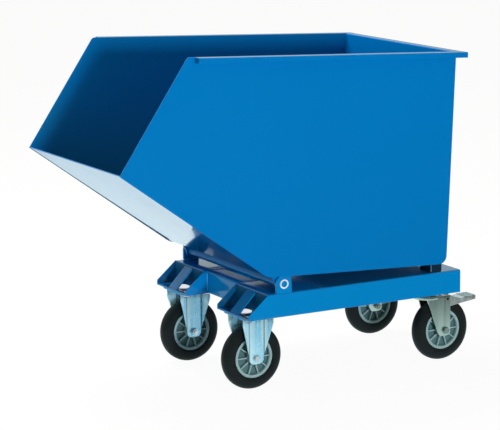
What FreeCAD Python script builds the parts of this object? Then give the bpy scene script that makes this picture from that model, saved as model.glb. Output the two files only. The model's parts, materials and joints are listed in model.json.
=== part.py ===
import FreeCAD, Part
import os
import re
import Sketcher

# Tipping skip trolley: a sheet-metal skip that tips about a cross shaft on a folded chassis with two
# fixed and two swivelling castors. The chute points to -X, the left side is -Y, the floor is Z = 0.

# Driving dimensions in millimetres and degrees.
SIZES = {
    # skip, measured from the pivot axis in the skip's own level position
    "skip_width": 626.6, "skip_sheet": 3, "skip_top": 686.8, "skip_rear": 574.9, "skip_bend": 65.3,
    "lip_reach": 563.5, "lip_rise": 351.2, "mouth_reach": 355.9, "mouth_round": 15, "floor_gap": 3,
    "side_ledge": 4, "floor_round": 26, "chute_round": 42, "side_rim": 26, "rear_rim": 26,
    "rim_lip": 17, "rim_round": 4, "rim_start": 23, "rest_tilt": 2.6,
    # push handle on the rear wall
    "handle_width": 292, "handle_reach": 69, "handle_bar": 25, "handle_drop": 115, "handle_bend": 38,
    # pivot
    "pivot_x": -101.8, "shaft_diameter": 20, "tube_diameter": 32, "lug_radius": 23, "lug_length": 84,
    "lug_plate": 8, "lug_gap": 4, "deck_gap": 5.6, "bracket_radius": 27, "bracket_plate": 8,
    "bush_diameter": 29, "bush_proud": 2.5, "shaft_recess": 1, "running_gap": 0.05, "side_gap": 0.4,
    # chassis
    "chassis_inset": 15.9, "rail_width": 196.6, "rail_height": 72, "rail_wall": 4, "rail_round": 7,
    "deck_lead": 53.7, "cross_lead": 44.3, "cross_depth": 60, "tray_length": 67.5, "tray_nose": 15,
    "nose_round": 9, "tray_plate": 6, "tray_hole": 36, "tray_hole_lead": 78.5, "strap_width": 50,
    "strap_plate": 5, "strap_lead": 4, "plate_margin": 5, "frame_tail": 11,
    # plugs in the trays
    "plug_flange": 40, "plug_rim": 2, "plug_dome": 4, "plug_slope": 9, "plug_round": 6, "plug_gap": 0.25,
    # rubber rest blocks
    "block_reach": 532, "block_length": 41, "block_width": 62, "block_inset": 5,
    # castors
    "wheelbase": 689.3, "front_axle_lead": 59.8, "castor_trail": 52, "castor_rise": 35,
    "castor_plate": 6, "castor_length": 115, "castor_width": 140, "plate_round": 12,
    "bolt_pitch_x": 75, "bolt_pitch_y": 110, "bolt_diameter": 10, "bolt_head": 17,
    "bolt_head_height": 6.5, "bolt_tail": 3, "sink_depth": 5, "sink_angle": 45, "hole_gap": 0.5,
    "leg_clear": 8, "leg_sheet": 4, "leg_fold": 25, "leg_fold_angle": 26, "leg_top": 52,
    "leg_shoulder": 23, "leg_waist": 24, "leg_waist_rise": 5, "leg_foot": 17, "leg_foot_round": 15,
    "axle_diameter": 12, "axle_head": 19, "axle_head_height": 8, "axle_nut_height": 10, "axle_tail": 3,
    # wheels
    "wheel_diameter": 200, "tyre_width": 46, "tyre_round": 21, "tyre_bead": 4, "rim_diameter": 128,
    "rim_width": 38, "rim_ring": 9, "rim_web": 9, "hub_diameter": 42, "hub_gap": 2, "hub_bush": 25,
    "rib_count": 10, "rib_wall": 3, "rib_width": 30, "rib_root": 1,
    # swivel head
    "head_diameter": 84, "race_depth": 4, "ball_count": 10, "ball_ring": 58, "ball_gap": 0.2,
    "crown_drop": 22, "crown_plate": 8, "crown_front": 35, "crown_back": 30, "crown_inset": 5,
    "seat_height": 2, "kingpin_diameter": 14, "kingpin_head": 28, "kingpin_head_height": 6,
    "fork_front": 65, "fork_waist": 30, "fork_heel": 3, "fork_drop": 4, "fork_back": 18,
    "fork_fold_angle": 12, "fork_back_fold": 50,
    # brake pedal: heights are from the pin, the tip's plate lies below it
    "brake_pin": 8, "brake_pin_x": 8, "brake_pin_rise": 1, "pedal_sheet": 2.2, "pedal_clear": 0.8,
    "pedal_reach": 121, "pedal_eye": 9, "pedal_neck": 56, "pedal_tip": 48, "pedal_tip_drop": 4,
    "pedal_neck_drop": 7, "pedal_lip": 15, "pedal_cheek": 27, "pedal_cheek_x": 17,
    "shoe_start": 30, "shoe_end": 54, "shoe_drop": 8, "tread_count": 5, "tread_pitch": 9,
    "tread_width": 4, "tread_height": 2,
}

doc = FreeCAD.newDocument("tipping_skip_trolley")
sheet = doc.addObject("Spreadsheet::Sheet", "sizes")
for row, (alias, number) in enumerate(SIZES.items(), start=1):
    sheet.set(f"A{row}", alias)
    sheet.set(f"B{row}", str(number))
    sheet.setAlias(f"B{row}", alias)
doc.recompute()

ALIAS = re.compile(r"\b(" + "|".join(sorted(SIZES, key=len, reverse=True)) + r")\b")
SIDES = {"left": -1, "right": 1}
pieces = []


def bound(text):
    """Expression text with every size read from the sheet."""
    return ALIAS.sub(r"sizes.\1", str(text))


def value(text):
    """Number that an expression has at the sheet's present sizes."""
    return float(sheet.evalExpression(bound(text)))


def bind(feature, name, text):
    """Set a property and keep it bound to the sheet."""
    setattr(feature, name, value(text))
    feature.setExpression(name, bound(text))


def new_body(label):
    """Empty body for one piece, which names its file."""
    body = doc.addObject("PartDesign::Body", label)
    body.Label = label
    body.AllowCompound = True
    pieces.append(body)
    return body


def origin_feature(body, role):
    """Plane or axis of a body's own origin."""
    return next(item for item in body.Origin.OriginFeatures if item.Role == role)


def new_sketch(body, role, name, start="0"):
    """Sketch on a body's origin plane, moved along the positive axis to start."""
    sketch = body.newObject("Sketcher::SketchObject", name)
    sketch.AttachmentSupport = [(origin_feature(body, role), "")]
    sketch.MapMode = "FlatFace"
    offset = f"-({start})" if role == "XZ_Plane" else start
    sketch.AttachmentOffset = FreeCAD.Placement(FreeCAD.Vector(0, 0, value(offset)), FreeCAD.Rotation())
    sketch.setExpression("AttachmentOffset.Base.z", bound(offset))
    return sketch


def hold_point(sketch, edge, end, spot):
    """Hold a sketch point at bound coordinates."""
    for kind, text, axis in (("DistanceX", spot[0], -2), ("DistanceY", spot[1], -1)):
        if str(text) == "0":
            sketch.addConstraint(Sketcher.Constraint("PointOnObject", edge, end, axis))
        else:
            index = sketch.addConstraint(Sketcher.Constraint(kind, -1, 1, edge, end, value(text)))
            sketch.setExpression(f"Constraints[{index}]", bound(text))


def sketch_spot(spot):
    """Point of a sketch at the sheet's present sizes."""
    return FreeCAD.Vector(value(spot[0]), value(spot[1]), 0)


def lines(*spots):
    """Closed outline of straight lines through the spots."""
    def draw(sketch):
        first = sketch.GeometryCount
        count = len(spots)
        for index in range(count):
            ends = sketch_spot(spots[index]), sketch_spot(spots[(index + 1) % count])
            sketch.addGeometry(Part.LineSegment(*ends), False)
        for index in range(count):
            following = first + (index + 1) % count
            sketch.addConstraint(Sketcher.Constraint("Coincident", first + index, 2, following, 1))
        for index, spot in enumerate(spots):
            hold_point(sketch, first + index, 1, spot)
    return draw


def box(x0, x1, y0, y1):
    """Rectangular outline."""
    return lines((x0, y0), (x1, y0), (x1, y1), (x0, y1))


def circle(x, y, diameter):
    """Circular outline."""
    def draw(sketch):
        shape = Part.Circle(sketch_spot((x, y)), FreeCAD.Vector(0, 0, 1), value(diameter) / 2)
        edge = sketch.addGeometry(shape, False)
        hold_point(sketch, edge, 3, (x, y))
        index = sketch.addConstraint(Sketcher.Constraint("Diameter", edge, value(diameter)))
        sketch.setExpression(f"Constraints[{index}]", bound(diameter))
    return draw


def hexagon(x, y, across):
    """Hexagonal outline by its width across flats."""
    corner = f"({across}) / sqrt(3)"
    return lines(*((f"{x} + {corner} * cos({turn} deg)", f"{y} + {corner} * sin({turn} deg)")
                   for turn in range(5, 365, 60)))


def pad(body, name, role, start, length, *outlines, flare="0"):
    """Material from start over a length along the positive axis, widening by the flare angle."""
    sketch = new_sketch(body, role, name + "_outline", start)
    for draw in outlines:
        draw(sketch)
    feature = body.newObject("PartDesign::Pad", name)
    feature.Profile = sketch
    feature.Reversed = role == "XZ_Plane"
    bind(feature, "Length", length)
    bind(feature, "TaperAngle", flare)
    doc.recompute()
    return feature


def pocket(body, name, role, start, length, *outlines, flare="0"):
    """Cut from start over a length along the positive axis, widening by the flare angle."""
    before = body.Shape.Volume
    sketch = new_sketch(body, role, name + "_outline", start)
    for draw in outlines:
        draw(sketch)
    feature = body.newObject("PartDesign::Pocket", name)
    feature.Profile = sketch
    feature.Reversed = role != "XZ_Plane"
    bind(feature, "Length", length)
    bind(feature, "TaperAngle", flare)
    doc.recompute()
    if not body.Shape.Volume < before:
        raise RuntimeError(f"{body.Label}: {name} cuts nothing")
    return feature


def revolve(body, name, *outlines, axis="V_Axis", role="XY_Plane"):
    """Ring about a sketch axis."""
    sketch = new_sketch(body, role, name + "_outline")
    for draw in outlines:
        draw(sketch)
    feature = body.newObject("PartDesign::Revolution", name)
    feature.Profile = sketch
    feature.ReferenceAxis = (sketch, [axis])
    feature.Angle = 360
    doc.recompute()
    return feature


def ring_pattern(body, name, feature, role, count):
    """Repeat a feature evenly about an axis of the body."""
    pattern = body.newObject("PartDesign::PolarPattern", name)
    pattern.Originals = [feature]
    pattern.Axis = (origin_feature(body, role), [""])
    pattern.Angle = 360
    pattern.Occurrences = int(value(count))
    pattern.setExpression("Occurrences", bound(count))
    body.Tip = pattern
    doc.recompute()
    return pattern


def edges_at(shape, spots):
    """Names of the edges that pass through the spots."""
    names = []
    for spot in spots:
        vertex = Part.Vertex(*(value(text) for text in spot))
        gaps = [edge.distToShape(vertex)[0] for edge in shape.Edges]
        nearest = min(range(len(gaps)), key=gaps.__getitem__)
        if gaps[nearest] > 0.05:
            raise RuntimeError(f"no edge at {spot}")
        names.append(f"Edge{nearest + 1}")
    return names


def fillet(body, name, radius, *spots):
    """Round the edges that pass through the spots."""
    base = body.Tip
    feature = body.newObject("PartDesign::Fillet", name)
    feature.Base = (base, edges_at(base.Shape, spots))
    bind(feature, "Radius", radius)
    doc.recompute()
    return feature


def place(body, x="0", y="0", z="0", tilt="0"):
    """Set a piece in the trolley's frame, turned about Y by the tilt."""
    base = FreeCAD.Vector(value(x), value(y), value(z))
    body.Placement = FreeCAD.Placement(base, FreeCAD.Rotation(FreeCAD.Vector(0, 1, 0), value(tilt)))


def span(side, near, far):
    """Lowest Y and width between two distances from the middle, on one side."""
    return (f"({near})" if side > 0 else f"-({far})"), f"({far}) - ({near})"


# Heights of the trolley
AXLE = "(wheel_diameter / 2)"
BASE = "(wheel_diameter + castor_rise)"
DECK = f"({BASE} + rail_height)"
PIVOT = f"({DECK} + lug_radius + deck_gap)"
# Distances from the middle and along the chassis
RAIL_OUT = "(skip_width / 2 - chassis_inset)"
RAIL_IN = f"({RAIL_OUT} - rail_width)"
RAIL_MID = f"({RAIL_OUT} - rail_width / 2)"
DECK_FRONT = "(pivot_x - deck_lead)"
TRAY_FRONT = f"({DECK_FRONT} - tray_length)"
FRONT_AXLE = "(pivot_x - front_axle_lead)"
REAR_AXLE = f"({FRONT_AXLE} + wheelbase)"
KINGPIN = f"({REAR_AXLE} - castor_trail)"
CHASSIS_REAR = f"({REAR_AXLE} + frame_tail)"
# Skip, from the pivot axis: floor of the trough, lower edge of the sides, slope of the chute
FLOOR = "(bracket_radius + floor_gap)"
EDGE = f"({FLOOR} - side_ledge)"
CHUTE = f"atan((lip_rise - {EDGE}) / (lip_reach - skip_bend))"
HALF_CHUTE = f"tan({CHUTE} / 2)"
SHAFT_HOLE = "(shaft_diameter + 2 * running_gap)"
# Castors: inner and outer face of the legs, underside of the top plate, top of the fork
LEG_IN = "(tyre_width / 2 + leg_clear)"
LEG_OUT = f"({LEG_IN} + leg_sheet)"
PLATE_LOW = f"({BASE} - castor_plate)"
CROWN = f"({BASE} - crown_drop)"
FOOT = f"({AXLE} - leg_foot)"
BRAKE_PIN = "(wheel_diameter + brake_pin_rise)"
# Half-length of cuts that pass right through a castor
THROUGH = "(wheel_diameter)"


def place_on_skip(body):
    """Set a piece that was drawn from the pivot axis, at the skip's rest tilt."""
    place(body, "pivot_x", "0", PIVOT, "rest_tilt")


def skip_trough():
    """Chute, floor, rear wall and rear rim, bent from one sheet that stands in from the side edges."""
    body = new_body("skip_trough")
    inner = "(skip_width / 2 - skip_sheet)"
    rim_end = "(skip_rear + rear_rim)"
    wall = "(skip_rear - side_ledge)"
    deep = "(side_ledge + skip_sheet)"

    def chute_end(depth):
        return (f"-lip_reach + {depth} * sin({CHUTE})", f"lip_rise + {depth} * cos({CHUTE})")

    def chute_bend(depth):
        return (f"-skip_bend + {depth} * {HALF_CHUTE}", f"{EDGE} + {depth}")

    pad(body, "sheet", "XZ_Plane", f"-{inner}", f"2 * {inner}", lines(
        chute_end("side_ledge"), chute_bend("side_ledge"), (wall, FLOOR),
        (wall, "skip_top - skip_sheet"), (f"{rim_end} - skip_sheet", "skip_top - skip_sheet"),
        (f"{rim_end} - skip_sheet", "skip_top - rim_lip"), (rim_end, "skip_top - rim_lip"),
        (rim_end, "skip_top"), (f"{wall} - skip_sheet", "skip_top"),
        (f"{wall} - skip_sheet", f"{FLOOR} + skip_sheet"), chute_bend(deep), chute_end(deep)))
    outside = chute_bend("side_ledge")
    inside = chute_bend(deep)
    fillet(body, "floor_bend_out", "floor_round - side_ledge", (wall, "0", FLOOR))
    fillet(body, "floor_bend_in", f"floor_round - {deep}",
           (f"{wall} - skip_sheet", "0", f"{FLOOR} + skip_sheet"))
    fillet(body, "chute_bend_out", "chute_round + skip_sheet", (outside[0], "0", outside[1]))
    fillet(body, "chute_bend_in", "chute_round", (inside[0], "0", inside[1]))
    fillet(body, "rim_bend_out", "rim_round",
           (rim_end, "0", "skip_top"), (f"{wall} - skip_sheet", "0", "skip_top"))
    fillet(body, "rim_bend_in", "rim_round - skip_sheet",
           (f"{rim_end} - skip_sheet", "0", "skip_top - skip_sheet"), (wall, "0", "skip_top - skip_sheet"))
    place_on_skip(body)


def skip_side(name, side):
    """Side sheet with its top edge folded out to a rim."""
    body = new_body(f"skip_side_{name}")
    low, width = span(side, "skip_width / 2 - skip_sheet", "skip_width / 2")
    middle = f"{side} * (skip_width / 2 - skip_sheet / 2)"
    pad(body, "sheet", "XZ_Plane", low, width, lines(
        ("-lip_reach", "lip_rise"), ("-skip_bend", EDGE), ("skip_rear", EDGE),
        ("skip_rear", "skip_top"), ("-mouth_reach", "skip_top")))
    fillet(body, "floor_corner", "floor_round", ("skip_rear", middle, EDGE))
    fillet(body, "chute_corner", "chute_round + skip_sheet + side_ledge", ("-skip_bend", middle, EDGE))
    fillet(body, "mouth_corner", "mouth_round", ("-mouth_reach", middle, "skip_top"))
    inner = f"{side} * (skip_width / 2 - skip_sheet)"
    outer = f"{side} * (skip_width / 2 + side_rim)"
    lip = f"{side} * (skip_width / 2 + side_rim - skip_sheet)"
    front = "(rim_start - mouth_reach)"
    pad(body, "rim", "YZ_Plane", front, f"skip_rear + rear_rim - {front}", lines(
        (inner, "skip_top - skip_sheet"), (inner, "skip_top"), (outer, "skip_top"),
        (outer, "skip_top - rim_lip"), (lip, "skip_top - rim_lip"), (lip, "skip_top - skip_sheet")))
    fillet(body, "rim_bend_out", "rim_round", ("0", outer, "skip_top"))
    fillet(body, "rim_bend_in", "rim_round - skip_sheet", ("0", lip, "skip_top - skip_sheet"))
    place_on_skip(body)


def hinge_lug(name, side):
    """Plate under the skip's floor that takes the pivot shaft."""
    body = new_body(f"hinge_lug_{name}")
    outer = f"{RAIL_OUT} - bracket_plate - lug_gap"
    low, width = span(side, f"{outer} - lug_plate", outer)
    pad(body, "plate", "XZ_Plane", low, width, lines(
        ("-lug_length / 2", FLOOR), ("lug_length / 2", FLOOR), ("lug_radius", "0"), ("-lug_radius", "0")))
    pad(body, "eye", "XZ_Plane", low, width, circle("0", "0", "2 * lug_radius"))
    pocket(body, "bore", "XZ_Plane", low, width, circle("0", "0", SHAFT_HOLE))
    place_on_skip(body)


def pivot_parts():
    """Cross shaft, the tube round it, and the bushes and washers at its ends."""
    lug_in = f"({RAIL_OUT} - bracket_plate - lug_gap - lug_plate)"
    tube = new_body("pivot_tube")
    pad(tube, "tube", "XZ_Plane", f"-{lug_in}", f"2 * {lug_in}",
        circle("0", "0", "tube_diameter"), circle("0", "0", SHAFT_HOLE))
    place_on_skip(tube)
    shaft = new_body("pivot_shaft")
    reach = f"({RAIL_OUT} + bush_proud - shaft_recess)"
    pad(shaft, "shaft", "XZ_Plane", f"-{reach}", f"2 * {reach}", circle("0", "0", "shaft_diameter"))
    place_on_skip(shaft)
    bushes = new_body("pivot_bushes")
    washers = new_body("pivot_washers")
    inside = f"{RAIL_OUT} - bracket_plate"
    for name, side in SIDES.items():
        low, width = span(side, inside, f"{RAIL_OUT} + bush_proud")
        pad(bushes, f"bush_{name}", "XZ_Plane", low, width,
            circle("0", "0", "bush_diameter"), circle("0", "0", SHAFT_HOLE))
        low, width = span(side, f"{inside} - lug_gap + side_gap", inside)
        pad(washers, f"washer_{name}", "XZ_Plane", low, width,
            circle("0", "0", "2 * lug_radius"), circle("0", "0", SHAFT_HOLE))
    place(bushes, "pivot_x", "0", PIVOT)
    place(washers, "pivot_x", "0", PIVOT)


def push_handle():
    """Bent round bar on the rear wall, to push the trolley and lift the skip."""
    body = new_body("push_handle")
    wall = "skip_rear - side_ledge"
    bar = f"{wall} + handle_reach"
    side = "handle_width / 2"
    turn = "handle_width / 2 - handle_bend"
    ends = [(wall, f"-({side})"), (f"{bar} - handle_bend", f"-({side})"), (bar, f"-({turn})"),
            (bar, turn), (f"{bar} - handle_bend", side), (wall, side)]
    route = new_sketch(body, "XY_Plane", "route", "skip_top - handle_drop")
    cut = "(1 - sqrt(0.5)) * handle_bend"
    corners = [sketch_spot((f"{bar} - {cut}", f"{way} * ({side} - {cut})")) for way in (-1, 1)]
    spots = [sketch_spot(end) for end in ends]
    for curve in (Part.LineSegment(spots[0], spots[1]), Part.Arc(spots[1], corners[0], spots[2]),
                  Part.LineSegment(spots[2], spots[3]), Part.Arc(spots[3], corners[1], spots[4]),
                  Part.LineSegment(spots[4], spots[5])):
        route.addGeometry(curve, False)
    for edge in range(4):
        route.addConstraint(Sketcher.Constraint("Coincident", edge, 2, edge + 1, 1))
    for edge, first, last in ((0, 0, 1), (2, 2, 3), (4, 4, 5)):
        hold_point(route, edge, 1, ends[first])
        hold_point(route, edge, 2, ends[last])
    for edge in (1, 3):
        index = route.addConstraint(Sketcher.Constraint("Radius", edge, value("handle_bend")))
        route.setExpression(f"Constraints[{index}]", bound("handle_bend"))
    end = new_sketch(body, "YZ_Plane", "bar_end", wall)
    circle(f"-({side})", "skip_top - handle_drop", "handle_bar")(end)
    doc.recompute()
    pipe = body.newObject("PartDesign::AdditivePipe", "bar")
    pipe.Profile = end
    pipe.Spine = (route, [f"Edge{edge}" for edge in range(1, 6)])
    doc.recompute()
    place_on_skip(body)


def rail(name, side):
    """Wide folded channel, open below, whose flat top is the deck."""
    body = new_body(f"rail_{name}")
    out, inn = f"{side} * {RAIL_OUT}", f"{side} * {RAIL_IN}"
    out_wall, in_wall = f"{side} * ({RAIL_OUT} - rail_wall)", f"{side} * ({RAIL_IN} + rail_wall)"
    under = f"{DECK} - rail_wall"
    pad(body, "channel", "YZ_Plane", DECK_FRONT, f"{CHASSIS_REAR} - {DECK_FRONT}", lines(
        (out, BASE), (out, DECK), (inn, DECK), (inn, BASE),
        (in_wall, BASE), (in_wall, under), (out_wall, under), (out_wall, BASE)))
    fillet(body, "folds_out", "rail_round", ("0", out, DECK), ("0", inn, DECK))
    fillet(body, "folds_in", "rail_round - rail_wall", ("0", out_wall, under), ("0", in_wall, under))


def cross_member(label, face, way):
    """Channel between the rails with its back to the outside; way +1 puts the flanges behind the face."""
    body = new_body(label)
    inner = f"{face} + {way} * rail_wall"
    edge = f"{face} + {way} * cross_depth"
    low, top = f"{BASE} + rail_wall", f"{DECK} - rail_wall"
    pad(body, "channel", "XZ_Plane", f"-{RAIL_IN}", f"2 * {RAIL_IN}", lines(
        (face, BASE), (edge, BASE), (edge, low), (inner, low),
        (inner, top), (edge, top), (edge, DECK), (face, DECK)))
    fillet(body, "folds_out", "rail_round", (face, "0", BASE), (face, "0", DECK))
    fillet(body, "folds_in", "rail_round - rail_wall", (inner, "0", low), (inner, "0", top))


def castor_holes(x, y):
    """Round holes of one castor's bolt pattern."""
    spots = [(f"{x} + {along} * bolt_pitch_x / 2", f"{y} + {across} * bolt_pitch_y / 2")
             for along in (-1, 1) for across in (-1, 1)]
    return [circle(*spot, "bolt_diameter + 2 * hole_gap") for spot in spots]


def castor_tray(name, side):
    """Folded tray that carries a front castor ahead of the rail: base, sloped cheeks and back wall."""
    body = new_body(f"castor_tray_{name}")
    out, inn = f"{side} * {RAIL_OUT}", f"{side} * {RAIL_IN}"
    out_in, inn_in = f"{side} * ({RAIL_OUT} - rail_wall)", f"{side} * ({RAIL_IN} + rail_wall)"
    middle = f"{side} * {RAIL_MID}"
    tail = f"{FRONT_AXLE} + castor_length / 2 + plate_margin"
    pad(body, "base", "XY_Plane", BASE, "tray_plate", lines(
        (TRAY_FRONT, inn), (DECK_FRONT, inn), (DECK_FRONT, inn_in), (tail, inn_in),
        (tail, out_in), (DECK_FRONT, out_in), (DECK_FRONT, out), (TRAY_FRONT, out)))
    nose = f"{BASE} + tray_nose"
    cheek = lines((TRAY_FRONT, BASE), (DECK_FRONT, BASE), (DECK_FRONT, DECK), (TRAY_FRONT, nose))
    for label, near in (("inner", RAIL_IN), ("outer", f"{RAIL_OUT} - rail_wall")):
        low, width = span(side, near, f"{near} + rail_wall")
        pad(body, f"{label}_cheek", "XZ_Plane", low, width, cheek)
    low, width = span(side, RAIL_IN, RAIL_OUT)
    pad(body, "back", "XZ_Plane", low, width,
        box(f"{DECK_FRONT} - rail_wall", DECK_FRONT, BASE, f"{DECK} - rail_wall"))
    cheeks = f"{RAIL_IN} + rail_wall / 2", f"{RAIL_OUT} - rail_wall / 2"
    fillet(body, "noses", "nose_round", *((TRAY_FRONT, f"{side} * ({y})", nose) for y in cheeks))
    pocket(body, "eye", "XY_Plane", BASE, "tray_plate",
           circle("pivot_x - tray_hole_lead", middle, "tray_hole"))
    holes = castor_holes(FRONT_AXLE, middle)
    pocket(body, "bolt_holes", "XY_Plane", BASE, "tray_plate", *holes)
    pocket(body, "countersinks", "XY_Plane", f"{BASE} + tray_plate - sink_depth", "sink_depth", *holes,
           flare="sink_angle")


def tray_plug(name, side):
    """Domed plug that closes the round eye in a tray's base."""
    body = new_body(f"tray_plug_{name}")
    stem, flange = "(tray_hole / 2 - plug_gap)", "(plug_flange / 2)"
    rim = "(tray_plate + plug_rim)"
    top = f"({rim} + plug_dome)"
    revolve(body, "plug", lines(
        ("0", "0"), (stem, "0"), (stem, "tray_plate"), (flange, "tray_plate"),
        (flange, rim), (f"{flange} - plug_slope", top), ("0", top)), role="XZ_Plane")
    fillet(body, "dome", "plug_round", (f"{flange} - plug_slope", "0", top))
    place(body, "pivot_x - tray_hole_lead", f"{side} * {RAIL_MID}", BASE)


def tray_strap(name, side):
    """Flat bar that runs from the front of a tray's base up to the edge of the deck."""
    body = new_body(f"tray_strap_{name}")
    low = f"{side} * {RAIL_MID} - strap_width / 2"
    floor, head = f"{BASE} + tray_plate", f"{DECK} - rail_wall"
    foot, back = f"{TRAY_FRONT} + strap_lead", f"{DECK_FRONT} - rail_wall"
    slope = "((rail_height - rail_wall - tray_plate) / (tray_length - rail_wall - strap_lead))"
    thick = f"strap_plate * sqrt(1 + pow({slope}; 2))"
    pad(body, "bar", "XZ_Plane", low, "strap_width", lines(
        (foot, floor), (f"{foot} + {thick} / {slope}", floor), (back, f"{head} - {thick}"), (back, head)))


def pivot_bracket(name, side):
    """Round-topped plate on the deck that holds a pivot bush."""
    body = new_body(f"pivot_bracket_{name}")
    low, width = span(side, f"{RAIL_OUT} - bracket_plate", RAIL_OUT)
    drop = "-(lug_radius + deck_gap)"
    pad(body, "plate", "XZ_Plane", low, width, box("-bracket_radius", "bracket_radius", drop, "0"))
    pad(body, "head", "XZ_Plane", low, width, circle("0", "0", "2 * bracket_radius"))
    pocket(body, "bore", "XZ_Plane", low, width, circle("0", "0", "bush_diameter"))
    place(body, "pivot_x", "0", PIVOT)


def rest_block(name, side):
    """Rubber block on the deck that takes the rear of the lowered skip."""
    body = new_body(f"rest_block_{name}")
    low, width = span(side, f"{RAIL_OUT} - block_inset - block_width", f"{RAIL_OUT} - block_inset")

    def under_floor(x):
        fall = f"({x} - pivot_x) * sin(rest_tilt * 1 deg)"
        return f"{PIVOT} + ({FLOOR} - side_gap - {fall}) / cos(rest_tilt * 1 deg)"

    front, rear = "pivot_x + block_reach", "pivot_x + block_reach + block_length"
    pad(body, "block", "XZ_Plane", low, width,
        lines((front, DECK), (rear, DECK), (rear, under_floor(rear)), (front, under_floor(front))))


def rail_fittings():
    """Plates that close the rails' rear ends."""
    ends = new_body("rail_end_plates")
    for name, side in SIDES.items():
        low, width = span(side, f"{RAIL_IN} + rail_wall", f"{RAIL_OUT} - rail_wall")
        pad(ends, f"end_{name}", "XZ_Plane", low, width, box(
            f"{CHASSIS_REAR} - rail_wall", CHASSIS_REAR, f"{BASE} + tray_plate", f"{DECK} - rail_round"))


def rear_castor_pad(name, side):
    """Plate welded into the rail's open underside for a swivel castor."""
    body = new_body(f"rear_castor_pad_{name}")
    near, far = f"{side} * ({RAIL_IN} + rail_wall)", f"{side} * ({RAIL_OUT} - rail_wall)"
    front = f"{KINGPIN} - castor_length / 2 - plate_margin"
    pad(body, "plate", "XY_Plane", BASE, "tray_plate", box(front, CHASSIS_REAR, near, far))
    holes = castor_holes(KINGPIN, f"{side} * {RAIL_MID}")
    pocket(body, "bolt_holes", "XY_Plane", BASE, "tray_plate", *holes)


def castor_fasteners():
    """Flush screws with nuts below at the front castors, hexagon bolts with nuts above at the rear ones."""
    def pattern(x):
        return [(f"{x} + {along} * bolt_pitch_x / 2", f"{side} * {RAIL_MID} + {across} * bolt_pitch_y / 2")
                for side in SIDES.values() for along in (-1, 1) for across in (-1, 1)]

    front, rear = pattern(FRONT_AXLE), pattern(KINGPIN)
    top = f"{BASE} + tray_plate"
    under = f"({PLATE_LOW} - bolt_head_height)"
    shank = "castor_plate + tray_plate + bolt_head_height + bolt_tail"
    bolts = new_body("castor_bolts")
    pad(bolts, "rear_heads", "XY_Plane", under, "bolt_head_height",
        *(hexagon(*spot, "bolt_head") for spot in rear))
    pad(bolts, "rear_shanks", "XY_Plane", PLATE_LOW, shank,
        *(circle(*spot, "bolt_diameter") for spot in rear))
    rods = [circle(*spot, "bolt_diameter") for spot in front]
    pad(bolts, "front_shanks", "XY_Plane", f"{under} - bolt_tail", shank, *rods)
    pad(bolts, "front_heads", "XY_Plane", f"{top} - sink_depth", "sink_depth", *rods, flare="sink_angle")
    nuts = new_body("castor_nuts")
    for name, spots, start in (("front", front, under), ("rear", rear, top)):
        pad(nuts, f"{name}_nuts", "XY_Plane", start, "bolt_head_height",
            *(hexagon(*spot, "bolt_head") for spot in spots),
            *(circle(*spot, "bolt_diameter + 2 * running_gap") for spot in spots))


def leg_pair(body, fold, back_fold, angle, way, outline):
    """Two bent legs beside the wheel, trimmed to an outline; way +1 bends their wings outwards."""
    slope = f"({way} * tan({angle} * 1 deg))"
    lean = f"({way} * tan({angle} * 0.5 deg) * leg_sheet)"
    top = outline[0][1]

    def wing_line(side, depth, shift):
        """Plan of one face of a leg: front wing, middle, rear wing."""
        face = f"({LEG_IN} + {depth})"
        front, back = f"({fold} - {shift})", f"({back_fold} - {shift})"
        return [(f"-{THROUGH}", f"{side} * ({face} + ({THROUGH} - {front}) * {slope})"),
                (f"-{front}", f"{side} * {face}"), (back, f"{side} * {face}"),
                (THROUGH, f"{side} * ({face} + ({THROUGH} - {back}) * {slope})")]

    for name, side in SIDES.items():
        inside, outside = wing_line(side, "0", "0"), wing_line(side, "leg_sheet", lean)
        pad(body, f"leg_{name}", "XY_Plane", FOOT, f"{top} - {FOOT}", lines(*outside, *reversed(inside)))
    far = f"(2 * {THROUGH})"
    pocket(body, "leg_outline", "XZ_Plane", f"-{far}", f"2 * {far}",
           box(f"-{far}", far, "0", far), lines(*outline))


def bolt_plate(body, centre):
    """Top plate of a castor with its four holes."""
    x0, x1 = f"{centre} - castor_length / 2", f"{centre} + castor_length / 2"
    pad(body, "top_plate", "XY_Plane", PLATE_LOW, "castor_plate",
        box(x0, x1, "-castor_width / 2", "castor_width / 2"))
    middle = f"{BASE} - castor_plate / 2"
    fillet(body, "plate_corners", "plate_round", *(
        (x, f"{way} * castor_width / 2", middle) for x in (x0, x1) for way in (-1, 1)))
    pocket(body, "bolt_holes", "XY_Plane", PLATE_LOW, "castor_plate", *castor_holes(centre, "0"))


def axle_bore(body):
    """Holes for the axle through both legs."""
    pocket(body, "axle_bore", "XZ_Plane", f"-{THROUGH}", f"2 * {THROUGH}",
           circle("0", AXLE, "axle_diameter + 2 * running_gap"))


def round_feet(body, front, back):
    """Round the lower corners of both legs."""
    middle = f"({LEG_IN} + leg_sheet / 2)"
    fillet(body, "feet", "leg_foot_round", *(
        (x, f"{side} * {middle}", FOOT) for side in SIDES.values() for x in (front, back)))


def front_bracket(name, side):
    """Pressed bracket of a fixed castor, with wings that flare outwards."""
    body = new_body(f"front_bracket_{name}")
    half = [("leg_top", PLATE_LOW), ("leg_top", f"{PLATE_LOW} - leg_shoulder"),
            ("leg_fold", f"{AXLE} + leg_waist_rise"), ("leg_waist", AXLE), ("leg_waist", FOOT)]
    outline = [(f"-{x}", z) for x, z in half] + list(reversed(half))
    leg_pair(body, "leg_fold", "leg_fold", "leg_fold_angle", 1, outline)
    round_feet(body, "-leg_waist", "leg_waist")
    bolt_plate(body, "0")
    axle_bore(body)
    place(body, FRONT_AXLE, f"{side} * {RAIL_MID}")


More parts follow.
